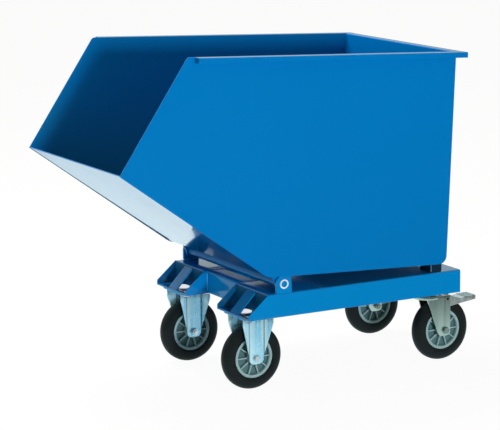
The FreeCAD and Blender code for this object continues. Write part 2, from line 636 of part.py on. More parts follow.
def swivel_fork(name, side):
    """Fork of a swivel castor: crown on the ball race and two legs that trail to the axle."""
    body = new_body(f"swivel_fork_{name}")
    under = f"{CROWN} - crown_plate"
    heel = "-fork_waist + fork_heel"
    outline = [("-fork_front", CROWN), ("-fork_front", under), ("-fork_waist", f"{AXLE} - fork_drop"),
               (heel, FOOT), ("fork_back", FOOT), ("fork_back", CROWN)]
    leg_pair(body, "fork_waist", "fork_back_fold", "fork_fold_angle", -1, outline)
    round_feet(body, heel, "fork_back")
    half = f"({LEG_IN} - crown_inset)"
    pad(body, "crown", "XY_Plane", under, "crown_plate",
        box("-castor_trail - crown_front", "-castor_trail + crown_back", f"-{half}", half))
    disc = circle("-castor_trail", "0", "head_diameter")
    pad(body, "crown_disc", "XY_Plane", under, "crown_plate", disc)
    pad(body, "race_seat", "XY_Plane", CROWN, "seat_height", disc)
    pocket(body, "kingpin_bore", "XY_Plane", under, "crown_plate + seat_height",
           circle("-castor_trail", "0", "kingpin_diameter + 2 * running_gap"))
    axle_bore(body)
    pocket(body, "pin_bore", "XZ_Plane", f"-{THROUGH}", f"2 * {THROUGH}",
           circle("brake_pin_x", BRAKE_PIN, "brake_pin + 2 * running_gap"))
    place(body, REAR_AXLE, f"{side} * {RAIL_MID}")


def swivel_head(name, side):
    """Top plate with upper race, kingpin and balls of a swivel castor."""
    middle = f"{side} * {RAIL_MID}"
    plate = new_body(f"swivel_plate_{name}")
    bolt_plate(plate, "0")
    race_low = f"({PLATE_LOW} - race_depth)"
    pad(plate, "race", "XY_Plane", race_low, "race_depth", circle("0", "0", "head_diameter"))
    place(plate, KINGPIN, middle)
    head_top = f"({CROWN} - crown_plate - side_gap)"
    pin = new_body(f"kingpin_{name}")
    pad(pin, "head", "XY_Plane", f"{head_top} - kingpin_head_height", "kingpin_head_height",
        circle("0", "0", "kingpin_head"))
    pad(pin, "shank", "XY_Plane", head_top, f"{race_low} - {head_top}",
        circle("0", "0", "kingpin_diameter"))
    place(pin, KINGPIN, middle)
    balls = new_body(f"swivel_balls_{name}")
    size = "(crown_drop - castor_plate - race_depth - seat_height - 2 * ball_gap)"
    ball = balls.newObject("PartDesign::AdditiveSphere", "ball")
    bind(ball, "Radius", f"{size} / 2")
    ball.AttachmentSupport = [(origin_feature(balls, "XY_Plane"), "")]
    ball.MapMode = "FlatFace"
    height = f"{race_low} - ball_gap - {size} / 2"
    ball.AttachmentOffset = FreeCAD.Placement(
        FreeCAD.Vector(value("ball_ring / 2"), 0, value(height)), FreeCAD.Rotation())
    ball.setExpression("AttachmentOffset.Base.x", bound("ball_ring / 2"))
    ball.setExpression("AttachmentOffset.Base.z", bound(height))
    doc.recompute()
    ring_pattern(balls, "ring", ball, "Z_Axis", "ball_count")
    place(balls, KINGPIN, middle)


def brake_pedal(name, side):
    """Pressed pedal that straddles the tyre, with a shoe above the tread and a ribbed tip."""
    body = new_body(f"brake_pedal_{name}")
    hollow = "(tyre_width / 2 + pedal_clear)"
    half = f"({hollow} + pedal_sheet)"
    low, width = f"-{half}", f"2 * {half}"
    pin, pin_x = BRAKE_PIN, "brake_pin_x"
    neck, tip = "pedal_reach - pedal_neck", "pedal_reach - pedal_tip"
    tip_top = f"{pin} - pedal_tip_drop"
    pad(body, "shell", "XZ_Plane", low, width, lines(
        (f"{pin_x} - pedal_eye", f"{pin} + pedal_eye"), (f"{pin_x} + pedal_eye", f"{pin} + pedal_eye"),
        (neck, f"{pin} - pedal_neck_drop"), (tip, tip_top), ("pedal_reach", tip_top),
        ("pedal_reach", f"{pin} - pedal_lip"), (f"{pin_x} + pedal_cheek_x", f"{pin} - pedal_cheek"),
        (f"{pin_x} - pedal_eye", f"{pin} - pedal_eye")))
    deep = f"{pin} - 2 * pedal_cheek"
    inner_top = f"{pin} + pedal_eye - pedal_sheet"
    end = "pedal_reach - 2 * pedal_sheet"
    front = f"{pin_x} - 2 * pedal_eye"
    pocket(body, "inside", "XZ_Plane", f"-{hollow}", f"2 * {hollow}", lines(
        (front, inner_top), (f"{pin_x} + pedal_eye", inner_top),
        (neck, f"{pin} - pedal_neck_drop - pedal_sheet"), (tip, f"{tip_top} - pedal_sheet"),
        (end, f"{tip_top} - pedal_sheet"), (end, deep), (front, deep)))
    pad(body, "shoe", "XZ_Plane", f"-{half}", f"2 * {half}", lines(
        ("shoe_start", f"{pin} + pedal_sheet"), ("shoe_end", f"{pin} - shoe_drop + pedal_sheet"),
        ("shoe_end", f"{pin} - shoe_drop"), ("shoe_start", f"{pin} + pedal_sheet / 2")))
    for index in range(int(value("tread_count"))):
        x = f"(pedal_reach - {index} * tread_pitch)"
        pad(body, f"tread_{index + 1}", "XZ_Plane", low, width,
            box(f"{x} - tread_width", x, f"{tip_top} - pedal_sheet / 2", f"{tip_top} + tread_height"))
    pocket(body, "pin_bore", "XZ_Plane", f"-{THROUGH}", f"2 * {THROUGH}",
           circle(pin_x, pin, "brake_pin + 2 * running_gap"))
    place(body, REAR_AXLE, f"{side} * {RAIL_MID}")
    pins = new_body(f"brake_pin_{name}")
    for end_name, way in SIDES.items():
        pin_low, pin_width = span(way, hollow, LEG_OUT)
        pad(pins, f"pin_{end_name}", "XZ_Plane", pin_low, pin_width, circle(pin_x, pin, "brake_pin"))
    place(pins, REAR_AXLE, f"{side} * {RAIL_MID}")


def wheel(name, x, side):
    """Tyre, ribbed rim and hub bush of one wheel, and the axle bolt through it."""
    middle = f"{side} * {RAIL_MID}"
    seat = "rim_diameter / 2"
    edge = "rim_width / 2"
    flank = "tyre_width / 2"
    tread = "wheel_diameter / 2"
    tyre = new_body(f"tyre_{name}")
    bead = f"{seat} + tyre_bead"
    revolve(tyre, "tyre", lines((seat, f"-{edge}"), (bead, f"-{flank}"), (tread, f"-{flank}"),
                                (tread, flank), (bead, flank), (seat, edge)))
    fillet(tyre, "shoulders", "tyre_round", (tread, f"-{flank}", "0"), (tread, flank, "0"))
    rim = new_body(f"rim_{name}")
    hub = f"({LEG_IN} - hub_gap)"
    bore, barrel, ring = "hub_bush / 2", "hub_diameter / 2", f"{seat} - rim_ring"
    web = "rim_web / 2"
    revolve(rim, "rim", lines(
        (bore, f"-{hub}"), (barrel, f"-{hub}"), (barrel, f"-{web}"), (ring, f"-{web}"),
        (ring, f"-{edge}"), (seat, f"-{edge}"), (seat, edge), (ring, edge),
        (ring, web), (barrel, web), (barrel, hub), (bore, hub)))
    rib = pad(rim, "rib", "XZ_Plane", "-rib_width / 2", "rib_width",
              box(f"{barrel} - rib_root", f"{ring} + rib_root", "-rib_wall / 2", "rib_wall / 2"))
    ring_pattern(rim, "ribs", rib, "Y_Axis", "rib_count")
    bush = new_body(f"hub_bush_{name}")
    length = f"({LEG_IN} - side_gap)"
    pad(bush, "bush", "XZ_Plane", f"-{length}", f"2 * {length}", circle("0", "0", "hub_bush"),
        circle("0", "0", "axle_diameter + 2 * running_gap"))
    for body in (tyre, rim, bush):
        place(body, x, middle, AXLE)
    axle = new_body(f"axle_{name}")
    end = f"({LEG_OUT} + axle_nut_height + axle_tail)"
    head_low, head_width = span(side, LEG_OUT, f"{LEG_OUT} + axle_head_height")
    nut_low, nut_width = span(-side, LEG_OUT, f"{LEG_OUT} + axle_nut_height")
    shank_low = f"-{end}" if side > 0 else f"-{LEG_OUT}"
    pad(axle, "shank", "XZ_Plane", shank_low, f"{end} + {LEG_OUT}", circle("0", "0", "axle_diameter"))
    pad(axle, "head", "XZ_Plane", head_low, head_width, hexagon("0", "0", "axle_head"))
    pad(axle, "nut", "XZ_Plane", nut_low, nut_width, hexagon("0", "0", "axle_head"),
        circle("0", "0", "axle_diameter + 2 * running_gap"))
    place(axle, x, middle, AXLE)


skip_trough()
for side_name, side_way in SIDES.items():
    skip_side(side_name, side_way)
    hinge_lug(side_name, side_way)
pivot_parts()
push_handle()
cross_member("front_cross_member", "(pivot_x - cross_lead)", 1)
cross_member("rear_cross_member", CHASSIS_REAR, -1)
rail_fittings()
castor_fasteners()
for side_name, side_way in SIDES.items():
    rail(side_name, side_way)
    castor_tray(side_name, side_way)
    tray_strap(side_name, side_way)
    tray_plug(side_name, side_way)
    pivot_bracket(side_name, side_way)
    rest_block(side_name, side_way)
    rear_castor_pad(side_name, side_way)
    front_bracket(side_name, side_way)
    swivel_fork(side_name, side_way)
    swivel_head(side_name, side_way)
    brake_pedal(side_name, side_way)
    wheel(f"front_{side_name}", FRONT_AXLE, side_way)
    wheel(f"rear_{side_name}", REAR_AXLE, side_way)
doc.recompute()

# A broken feature or an invalid solid stops the build before anything is written.
for item in doc.Objects:
    if {"Invalid", "Error"} & set(item.State):
        raise RuntimeError(f"{item.Name}: {item.State}")
os.makedirs("parts", exist_ok=True)
for body in pieces:
    if body.Shape.isNull() or not body.Shape.isValid():
        raise RuntimeError(f"{body.Label} has no valid shape")
    body.Shape.exportStep(f"parts/{body.Label}.step")
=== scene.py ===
import json
import logging
import math
from dataclasses import dataclass, field
from enum import Enum
from typing import Callable, Iterable, Union

import bmesh
import bpy
from mathutils import Matrix, Vector


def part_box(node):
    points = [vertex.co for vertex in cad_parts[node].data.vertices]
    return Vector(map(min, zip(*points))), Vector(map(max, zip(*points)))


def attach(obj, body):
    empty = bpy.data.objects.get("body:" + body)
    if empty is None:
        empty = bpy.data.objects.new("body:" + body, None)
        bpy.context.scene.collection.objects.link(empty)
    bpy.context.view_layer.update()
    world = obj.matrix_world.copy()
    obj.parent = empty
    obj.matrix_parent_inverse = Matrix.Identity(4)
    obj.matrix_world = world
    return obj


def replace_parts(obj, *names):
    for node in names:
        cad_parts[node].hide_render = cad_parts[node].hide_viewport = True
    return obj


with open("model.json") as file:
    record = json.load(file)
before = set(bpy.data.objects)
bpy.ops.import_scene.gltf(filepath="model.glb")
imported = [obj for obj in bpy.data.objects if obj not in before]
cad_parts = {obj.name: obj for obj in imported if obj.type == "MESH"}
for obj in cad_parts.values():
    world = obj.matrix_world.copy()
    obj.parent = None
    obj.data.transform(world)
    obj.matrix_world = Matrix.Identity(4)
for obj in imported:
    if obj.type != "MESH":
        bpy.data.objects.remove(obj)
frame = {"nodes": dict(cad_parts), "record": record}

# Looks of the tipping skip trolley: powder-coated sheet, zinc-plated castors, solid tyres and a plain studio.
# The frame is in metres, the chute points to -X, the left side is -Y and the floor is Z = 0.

log = logging.getLogger("trolley")

Span = tuple[float, float]
Color = tuple[float, float, float]
Point = tuple[float, float, float]
Row = tuple[float, float, float]
Mesh = bmesh.types.BMesh
Socket = bpy.types.NodeSocket
Feed = Union["Value", Socket, float, Color]

# MM writes a length in millimetres. Corners of a copied solid closer than MERGE become one, and so do corners
# of a spun ring closer than SEAM. Faces that turn less than FLAT degrees become one face.
MM = 0.001
MERGE = 0.001 * MM
SEAM = 1e-7
FLAT = 0.3

# Angles between two faces in degrees: an edge past a crease is drawn sharp, an edge past a corner is rounded.
PIECE_CREASE = 34.0
EDGED_CREASE = 20.0
LEG_CREASE = 30.0
SHEET_CORNER = 40.0
LEG_CORNER = 50.0
PLATE_CORNER = 60.0

# Weld beads: half-width, length of a ripple, how far it swells, sides of the bead and cuts to a ripple.
BEAD_RADIUS = 2.4 * MM
BEAD_RIPPLE = 3.2 * MM
BEAD_SWELL = 0.10
BEAD_SIDES = 8
BEAD_CUTS = 4

# Steps of the round corners at a castor leg's foot.
FOOT_STEPS = 8

# Colour sockets of a Mix node, by number because their names repeat.
MIX_FIRST = 6
MIX_SECOND = 7
MIX_RESULT = 2

WHITE: Color = (1.0, 1.0, 1.0)
EVEN: Point = (1.0, 1.0, 1.0)


class Side(Enum):
    """Left and right of the trolley, with the sign of Y."""

    LEFT = -1
    RIGHT = 1

    @property
    def word(self) -> str:
        """Name of the side as the nodes spell it."""
        return self.name.lower()


class End(Enum):
    """Front and rear axle of the trolley."""

    FRONT = "front"
    REAR = "rear"


class Value:
    """Number socket that takes part in Python arithmetic.

    Attributes:
        graph: Node graph that the socket belongs to.
        socket: Output socket with a number.
    """

    def __init__(self, graph: "Graph", socket: Socket) -> None:
        """Wrap a socket of a graph."""
        self.graph = graph
        self.socket = socket

    def _math(self, operation: str, first: Feed, second: Feed) -> "Value":
        """Result of a Math node on two values."""
        made = self.graph.node("ShaderNodeMath", {"operation": operation}, {0: first, 1: second})
        return Value(self.graph, made.outputs[0])

    def __add__(self, other: Feed) -> "Value":
        """Sum."""
        return self._math("ADD", self, other)

    def __radd__(self, other: Feed) -> "Value":
        """Sum with a number on the left."""
        return self._math("ADD", other, self)

    def __sub__(self, other: Feed) -> "Value":
        """Difference."""
        return self._math("SUBTRACT", self, other)

    def __rsub__(self, other: Feed) -> "Value":
        """Difference from a number on the left."""
        return self._math("SUBTRACT", other, self)

    def __mul__(self, other: Feed) -> "Value":
        """Product."""
        return self._math("MULTIPLY", self, other)

    def __rmul__(self, other: Feed) -> "Value":
        """Product with a number on the left."""
        return self._math("MULTIPLY", other, self)

    def size(self) -> "Value":
        """Value without its sign."""
        return self._math("ABSOLUTE", self, 0.0)

    def peak(self, other: Feed) -> "Value":
        """Greater of two values."""
        return self._math("MAXIMUM", self, other)

    def above(self, start: float, stop: float) -> "Value":
        """Smooth step.

        Args:
            start: Value up to which the step is 0.
            stop: Value from which it is 1.

        Returns:
            The step.
        """
        made = self.graph.node("ShaderNodeMapRange", {"interpolation_type": "SMOOTHSTEP"}, {
            "Value": self, "From Min": start, "From Max": stop})
        return Value(self.graph, made.outputs["Result"])


@dataclass(frozen=True)
class Pattern:
    """Cloudy pattern over a surface.

    Attributes:
        scale: How fine the clouds are.
        detail: Layers of finer clouds.
        stretch: Stretch of the coordinates along the axes.
    """

    scale: float
    detail: float
    stretch: Point = EVEN


class Graph:
    """Node graph of a material or of the world.

    Attributes:
        tree: Node tree that the graph fills; its first nodes are removed.
    """

    def __init__(self, tree: bpy.types.NodeTree) -> None:
        """Empty a node tree and take it over."""
        self.tree = tree
        tree.nodes.clear()

    def node(self, kind: str, settings: dict | None = None, inputs: dict | None = None) -> bpy.types.Node:
        """New node.

        Args:
            kind: Node type.
            settings: Properties of the node, set first.
            inputs: Values or links of its sockets, by name or number.

        Returns:
            The node.
        """
        made = self.tree.nodes.new(kind)
        for name, setting in (settings or {}).items():
            setattr(made, name, setting)
        for name, feed in (inputs or {}).items():
            self.feed(made.inputs[name], feed)
        return made

    def feed(self, socket: Socket, feed: Feed) -> None:
        """Link a socket, or set its value.

        Args:
            socket: Input socket.
            feed: Value, socket, number or colour.
        """
        if isinstance(feed, Value):
            self.tree.links.new(feed.socket, socket)
        elif isinstance(feed, Socket):
            self.tree.links.new(feed, socket)
        elif isinstance(feed, tuple) and socket.type == "RGBA":
            socket.default_value = (*feed, 1.0)
        else:
            socket.default_value = feed

    def coords(self, stretch: Point = EVEN) -> Socket:
        """Object coordinates, stretched along the axes."""
        place = self.node("ShaderNodeTexCoord").outputs["Object"]
        return self.node("ShaderNodeMapping", {}, {"Vector": place, "Scale": stretch}).outputs["Vector"]

    def place(self) -> tuple[Value, ...]:
        """X, Y and Z of the object coordinates as numbers."""
        part = self.node("ShaderNodeSeparateXYZ", {}, {0: self.coords()})
        return tuple(Value(self, socket) for socket in part.outputs)

    def noise(self, pattern: Pattern) -> Value:
        """Cloudy pattern between 0 and 1.

        Args:
            pattern: Size, detail and stretch of the clouds.

        Returns:
            The pattern's value.
        """
        made = self.node("ShaderNodeTexNoise", {}, {
            "Vector": self.coords(pattern.stretch), "Scale": pattern.scale, "Detail": pattern.detail})
        return Value(self, made.outputs["Fac"])

    def tint(self, factor: Feed, first: Feed, second: Feed) -> Socket:
        """Colour between two colours.

        Args:
            factor: Share of the second colour.
            first: First colour.
            second: Second colour.

        Returns:
            The mixed colour.
        """
        made = self.node("ShaderNodeMix", {"data_type": "RGBA"}, {
            "Factor": factor, MIX_FIRST: first, MIX_SECOND: second})
        return made.outputs[MIX_RESULT]

    def bump(self, height: Value, strength: float, distance: float) -> Socket:
        """Normal from a height pattern."""
        made = self.node("ShaderNodeBump", {}, {"Height": height, "Strength": strength, "Distance": distance})
        return made.outputs["Normal"]

    def surface(self, shader: Socket) -> None:
        """Join a shader to the material's output."""
        self.node("ShaderNodeOutputMaterial", {}, {"Surface": shader})


@dataclass(frozen=True)
class Finish:
    """Surface finish of a piece.

    Attributes:
        name: Name of the finish.
        slot: Material slot of the record; not used.
        color: Linear base colour.
        second: Colour that the pattern drifts to.
    """

    name: str
    slot: str
    color: Color
    second: Color

    def material(self) -> bpy.types.Material:
        """Material of this finish, made once.

        Returns:
            The material.
        """
        name = f"{self.name}_finish"
        known = bpy.data.materials.get(name)
        if known:
            return known
        made = bpy.data.materials.new(name)
        made.use_nodes = True
        graph = Graph(made.node_tree)
        graph.surface(self.shader(graph))
        return made

    def shader(self, graph: Graph) -> Socket:
        """Shader of the finish; each kind of finish has its own."""
        raise NotImplementedError

    def mark(self, graph: Graph, clean: Socket) -> Socket:
        """Colour with the marks of use, here none."""
        return clean


@dataclass(frozen=True)
class PowderCoat(Finish):
    """Glossy powder coat: strong gloss at a flat angle, little seen straight on.

    Attributes:
        scuff: Colour of the rub marks.
        scuff_share: Share of that colour in the strongest mark.
        roughness: Roughness of the clean paint.
        film_rough: Roughness that the uneven film adds.
        rub_rough: Roughness that the rub marks add.
        dust_rough: Roughness that the dust adds.
        index: Refractive index of the paint and of its clear layer.
        layer_rough: Roughness of the clear layer.
        peel: Strength of the orange peel.
        peel_depth: Depth of the orange peel.
        drift: Pattern of the colour's drift.
        film: Pattern of the uneven film.
        grain: Pattern of the orange peel.
        rub: Pattern of the upright rub marks.
        rub_range: Values of that pattern between which a mark begins.
        patch: Pattern of the dust.
        patch_range: Values of that pattern between which dust begins.
        patch_share: Share of the gloss that the dust takes away.
    """

    scuff: Color = (0.0, 0.22, 0.56)
    scuff_share: float = 0.22
    roughness: float = 0.10
    film_rough: float = 0.06
    rub_rough: float = 0.10
    dust_rough: float = 0.5
    index: float = 1.20
    layer_rough: float = 0.05
    peel: float = 0.04
    peel_depth: float = 0.5 * MM
    drift: Pattern = Pattern(2.6, 3.0)
    film: Pattern = Pattern(24.0, 4.0)
    grain: Pattern = Pattern(330.0, 1.0)
    rub: Pattern = Pattern(60.0, 6.0, (1.0, 1.0, 0.12))
    rub_range: Span = (0.62, 0.80)
    patch: Pattern = Pattern(11.0, 3.0)
    patch_range: Span = (0.55, 0.80)
    patch_share: float = 0.1

    def shader(self, graph: Graph) -> Socket:
        """Coat with slow colour drift, faint upright rub marks, uneven gloss and orange peel.

        Args:
            graph: Node graph of the material.

        Returns:
            The shader.
        """
        drift = graph.noise(self.drift)
        film = graph.noise(self.film)
        grain = graph.noise(self.grain)
        rub = graph.noise(self.rub).above(*self.rub_range)
        dust = self.dust(graph)
        paint = graph.tint(self.scuff_share * rub, graph.tint(drift, self.color, self.second), self.scuff)
        wear = self.film_rough * film + self.rub_rough * rub + self.dust_rough * dust
        made = graph.node("ShaderNodeBsdfPrincipled", {}, {
            "Base Color": self.mark(graph, paint),
            "Roughness": self.roughness + wear,
            "IOR": self.index,
            "Coat Weight": 1.0 - dust,
            "Coat Roughness": self.layer_rough,
            "Coat IOR": self.index,
            "Normal": graph.bump(grain, self.peel, self.peel_depth)})
        return made.outputs["BSDF"]

    def dust(self, graph: Graph) -> Value:
        """Share of the gloss that a thin dust in patches takes away."""
        return self.patch_share * graph.noise(self.patch).above(*self.patch_range)


@dataclass(frozen=True)
class TrayCoat(PowderCoat):
    """Powder coat of the castor trays, with painted shade on the inner faces of the pockets.

    Attributes:
        dirt: Dark colour painted in as the shade inside the tray pockets.
        amount: Share of that colour where the painted shade is deepest.
        stain: Pattern that makes the painted shade uneven.
        stain_share: Part of the painted shade that follows the pattern.
        inner_cheek: Distances from the middle between which the painted shade begins.
        outer_cheek: Distances from the middle between which it ends.
        base: Heights between which it begins.
    """

    # Painted shade: a dark blue stands in for the shade inside the tray pockets.
    dirt: Color = (0.006, 0.022, 0.040)
    amount: float = 0.70
    stain: Pattern = Pattern(40.0, 4.0)
    stain_share: float = 0.25
    inner_cheek: Span = (103.5 * MM, 104.5 * MM)
    outer_cheek: Span = (293.7 * MM, 294.7 * MM)
    base: Span = (239.0 * MM, 240.5 * MM)

    def mark(self, graph: Graph, clean: Socket) -> Socket:
        """Paint with painted shade between the cheeks and above the base.

        Args:
            graph: Node graph of the material.
            clean: Colour of the clean paint.

        Returns:
            The colour.
        """
        _, across, height = graph.place()
        inside = across.size().above(*self.inner_cheek) - across.size().above(*self.outer_cheek)
        patches = 1.0 - self.stain_share + self.stain_share * graph.noise(self.stain)
        return graph.tint(self.amount * patches * inside * height.above(*self.base), clean, self.dirt)


@dataclass(frozen=True)
class SideCoat(PowderCoat):
    """Powder coat of the skip's sides, with painted shade on the inner faces.

    Attributes:
        dull: Darker, less blue colour painted in as the shade inside the skip.
        inner_face: Distances from the middle between which the painted shade ends.
        load: Heights between which the painted shade falls off.
        below: Share of the shade colour low down.
        fall: Part of that share that is gone at the rim.
        mouth: Places along the trolley between which the painted shade begins, from the chute's lip.
    """

    # Painted shade: the inner faces are darkened and made less blue as the shade inside the skip.
    dull: Color = (0.014, 0.163, 0.245)
    inner_face: Span = (311.0 * MM, 312.5 * MM)
    load: Span = (0.55, 0.95)
    below: float = 0.95
    fall: float = 0.80
    mouth: Span = (-0.70, -0.54)

    def mark(self, graph: Graph, clean: Socket) -> Socket:
        """Paint with painted shade inside, deepest low down and away from the chute's lip.

        Args:
            graph: Node graph of the material.
            clean: Colour of the clean paint.

        Returns:
            The colour.
        """
        along, across, height = graph.place()
        inside = (1.0 - across.size().above(*self.inner_face)) * along.above(*self.mouth)
        share = self.below - self.fall * height.above(*self.load)
        return graph.tint(inside * share, clean, self.dull)


@dataclass(frozen=True)
class ShelteredCoat(PowderCoat):
    """Powder coat of the frame, with painted shade, and dust that takes the gloss, on the part of the deck
    that the skip covers.

    Attributes:
        grime: Dark colour painted in as the shade under the skip.
        amount: Share of that colour on the covered deck.
        start: Places along the trolley between which the dust and the painted shade begin.
        stop: Places between which it ends.
        deck: Heights between which it begins.
    """

    # Painted shade: the covered deck is darkened as the shade under the skip.
    grime: Color = (0.012, 0.09, 0.17)
    amount: float = 0.65
    start: Span = (0.0, 0.08)
    stop: Span = (0.445, 0.465)
    deck: Span = (306.2 * MM, 306.6 * MM)

    def mark(self, graph: Graph, clean: Socket) -> Socket:
        """Paint with painted shade on the covered deck, where the dust lies."""
        return graph.tint(self.amount * self.dust(graph), clean, self.grime)

    def dust(self, graph: Graph) -> Value:
        """Share of the gloss that the dust on the covered deck takes away."""
        along, _, height = graph.place()
        return (along.above(*self.start) - along.above(*self.stop)) * height.above(*self.deck)


@dataclass(frozen=True)
class ZincPlate(Finish):
    """Bright zinc plate on pressed steel.

    Attributes:
        roughness: Middle roughness of the plate.
        metal: Share of metal in the shader.
        polish: Roughness that the smoothest spots lack.
        streak_rough: Roughness that the streaks add.
        cloud_rough: Roughness that the clouds add.
        streak: Pattern of the upright rolling streaks.
        streak_range: Values of that pattern between which the colour changes.
        cloud: Pattern of the dull passivation clouds.
        crystal: How fine the crystals are.
        crystal_share: Relief of the crystals against that of the streaks.
        relief: Strength of the relief.
        relief_depth: Depth of the relief.
    """

    roughness: float = 0.26
    metal: float = 1.0
    polish: float = 0.10
    streak_rough: float = 0.14
    cloud_rough: float = 0.10
    streak: Pattern = Pattern(9.0, 4.0, (7.0, 7.0, 0.5))
    streak_range: Span = (0.3, 0.7)
    cloud: Pattern = Pattern(32.0, 3.0)
    crystal: float = 160.0
    crystal_share: float = 0.3
    relief: float = 0.06
    relief_depth: float = 0.6 * MM

    def shader(self, graph: Graph) -> Socket:
        """Metal with upright rolling streaks, small crystals and dull passivation clouds.

        Args:
            graph: Node graph of the material.

        Returns:
            The shader.
        """
        streak = graph.noise(self.streak)
        cloud = graph.noise(self.cloud)
        crystal = graph.node("ShaderNodeTexVoronoi", {}, {"Vector": graph.coords(), "Scale": self.crystal})
        grain = Value(graph, crystal.outputs["Distance"])
        zinc = graph.tint(streak.above(*self.streak_range), self.color, self.second)
        made = graph.node("ShaderNodeBsdfPrincipled", {}, {
            "Base Color": self.mark(graph, zinc),
            "Metallic": self.metal,
            "Roughness": self.roughness - self.polish + self.streak_rough * streak + self.cloud_rough * cloud,
            "Normal": graph.bump(streak + self.crystal_share * grain, self.relief, self.relief_depth)})
        return made.outputs["BSDF"]


@dataclass(frozen=True)
class BracketZinc(ZincPlate):
    """Zinc plate of the fixed castors, with painted shade along the folds and paint on the top plates' edges.

    Attributes:
        paint: Colour of the paint that the top plates took with the trays.
        edge: Heights between which the paint begins.
        dirt: Dark colour painted along the folds as their shade.
        amount: Share of that colour in the middle of a fold.
        axle_x: Place of the front axles.
        fold: Distance of the folds from the axle.
        line: Distances from a fold between which the painted shade ends.
    """

    paint: Color = (0.01, 0.26, 0.62)
    edge: Span = (229.3 * MM, 229.9 * MM)
    # Painted shade: dark lines along the folds stand in for the folds' shadow.
    dirt: Color = (0.02, 0.10, 0.15)
    amount: float = 0.7
    axle_x: float = -161.6 * MM
    fold: float = 26.0 * MM
    line: Span = (0.8 * MM, 3.0 * MM)

    def mark(self, graph: Graph, clean: Socket) -> Socket:
        """Zinc with painted shade along the folds, and painted above the underside of the top plate.

        Args:
            graph: Node graph of the material.
            clean: Colour of the bare zinc.

        Returns:
            The colour.
        """
        along, _, height = graph.place()
        away = ((along - self.axle_x).size() - self.fold).size()
        zinc = graph.tint(self.amount * (1.0 - away.above(*self.line)), clean, self.dirt)
        return graph.tint(height.above(*self.edge), zinc, self.paint)


@dataclass(frozen=True)
class SolidRubber(Finish):
    """Moulded solid rubber.

    Attributes:
        roughness: Middle roughness of the rubber.
        bloom_rough: Range of roughness that the bloom gives.
        gloss: Strength of the straight reflection.
        bloom: Pattern of the bloom.
        dust: Pattern of the dust.
        dust_range: Values of that pattern between which dust begins.
        dust_color: Colour of the dust.
        dust_share: Share of that colour in the thickest dust.
        grain: Pattern of the moulded grain.
        relief: Strength of the grain.
        relief_depth: Depth of the grain.
    """

    roughness: float = 0.5
    bloom_rough: float = 0.16
    gloss: float = 0.16
    bloom: Pattern = Pattern(18.0, 4.0)
    dust: Pattern = Pattern(140.0, 5.0)
    dust_range: Span = (0.55, 0.85)
    dust_color: Color = (0.10, 0.11, 0.115)
    dust_share: float = 0.10
    grain: Pattern = Pattern(900.0, 2.0)
    relief: float = 0.12
    relief_depth: float = 0.4 * MM

    def shader(self, graph: Graph) -> Socket:
        """Dark rubber with bloom, dust and a fine moulded grain.

        Args:
            graph: Node graph of the material.

        Returns:
            The shader.
        """
        bloom = graph.noise(self.bloom)
        dust = graph.noise(self.dust).above(*self.dust_range)
        grain = graph.noise(self.grain)
        rubber = graph.tint(bloom, self.color, self.second)
        made = graph.node("ShaderNodeBsdfPrincipled", {}, {
            "Base Color": self.mark(graph, graph.tint(self.dust_share * dust, rubber, self.dust_color)),
            "Roughness": self.roughness - self.bloom_rough / 2 + self.bloom_rough * bloom,
            "Specular IOR Level": self.gloss,
            "Normal": graph.bump(grain, self.relief, self.relief_depth)})
        return made.outputs["BSDF"]


@dataclass(frozen=True)
class BlockRubber(SolidRubber):
    """Rubber of the rest blocks, with a painted highlight along the outer front corner.

    Attributes:
        rubbed: Pale colour painted on the corner as its highlight.
        amount: Share of that colour there.
        front: Places along the trolley between which the painted highlight ends.
        outer: Distances from the middle between which it begins.
    """

    # Painted highlight: a pale line on the rounded corner stands in for the edge's glint.
    rubbed: Color = (0.20, 0.36, 0.52)
    amount: float = 0.8
    front: Span = (431.4 * MM, 432.6 * MM)
    outer: Span = (290.2 * MM, 291.2 * MM)

    def mark(self, graph: Graph, clean: Socket) -> Socket:
        """Rubber with a painted highlight on the round of the corner.

        Args:
            graph: Node graph of the material.
            clean: Colour of the clean rubber.

        Returns:
            The colour.
        """
        along, across, _ = graph.place()
        corner = (1.0 - along.above(*self.front)) * across.size().above(*self.outer)
        return graph.tint(self.amount * corner, clean, self.rubbed)


@dataclass(frozen=True)
class MouldedPlastic(Finish):
    """Injection-moulded plastic; one can be given a painted glow of its own.

    Attributes:
        roughness: Middle roughness of the plastic.
        flow_rough: Range of roughness that the flow marks give.
        gloss: Strength of the straight reflection.
        glow: Strength of the painted glow, which is no lamp; 0 for none.
        flow: Pattern of the flow marks.
        grain: Pattern of the fine texture.
        relief: Strength of the texture.
        relief_depth: Depth of the texture.
    """

    roughness: float = 0.42
    flow_rough: float = 0.12
    gloss: float = 0.35
    glow: float = 0.0
    flow: Pattern = Pattern(30.0, 3.0)
    grain: Pattern = Pattern(1400.0, 1.0)
    relief: float = 0.08
    relief_depth: float = 0.3 * MM

    def shader(self, graph: Graph) -> Socket:
        """Plastic with flow marks and a fine texture.

        Args:
            graph: Node graph of the material.

        Returns:
            The shader.
        """
        flow = graph.noise(self.flow)
        grain = graph.noise(self.grain)
        shade = self.mark(graph, graph.tint(flow, self.color, self.second))
        # A glow is painted light: the part shines with no lamp behind it.
        light = {"Emission Color": shade, "Emission Strength": self.glow} if self.glow else {}
        made = graph.node("ShaderNodeBsdfPrincipled", {}, {
            "Base Color": shade,
            "Roughness": self.roughness - self.flow_rough / 2 + self.flow_rough * flow,
            "Specular IOR Level": self.gloss,
            "Normal": graph.bump(grain, self.relief, self.relief_depth)} | light)
        return made.outputs["BSDF"]


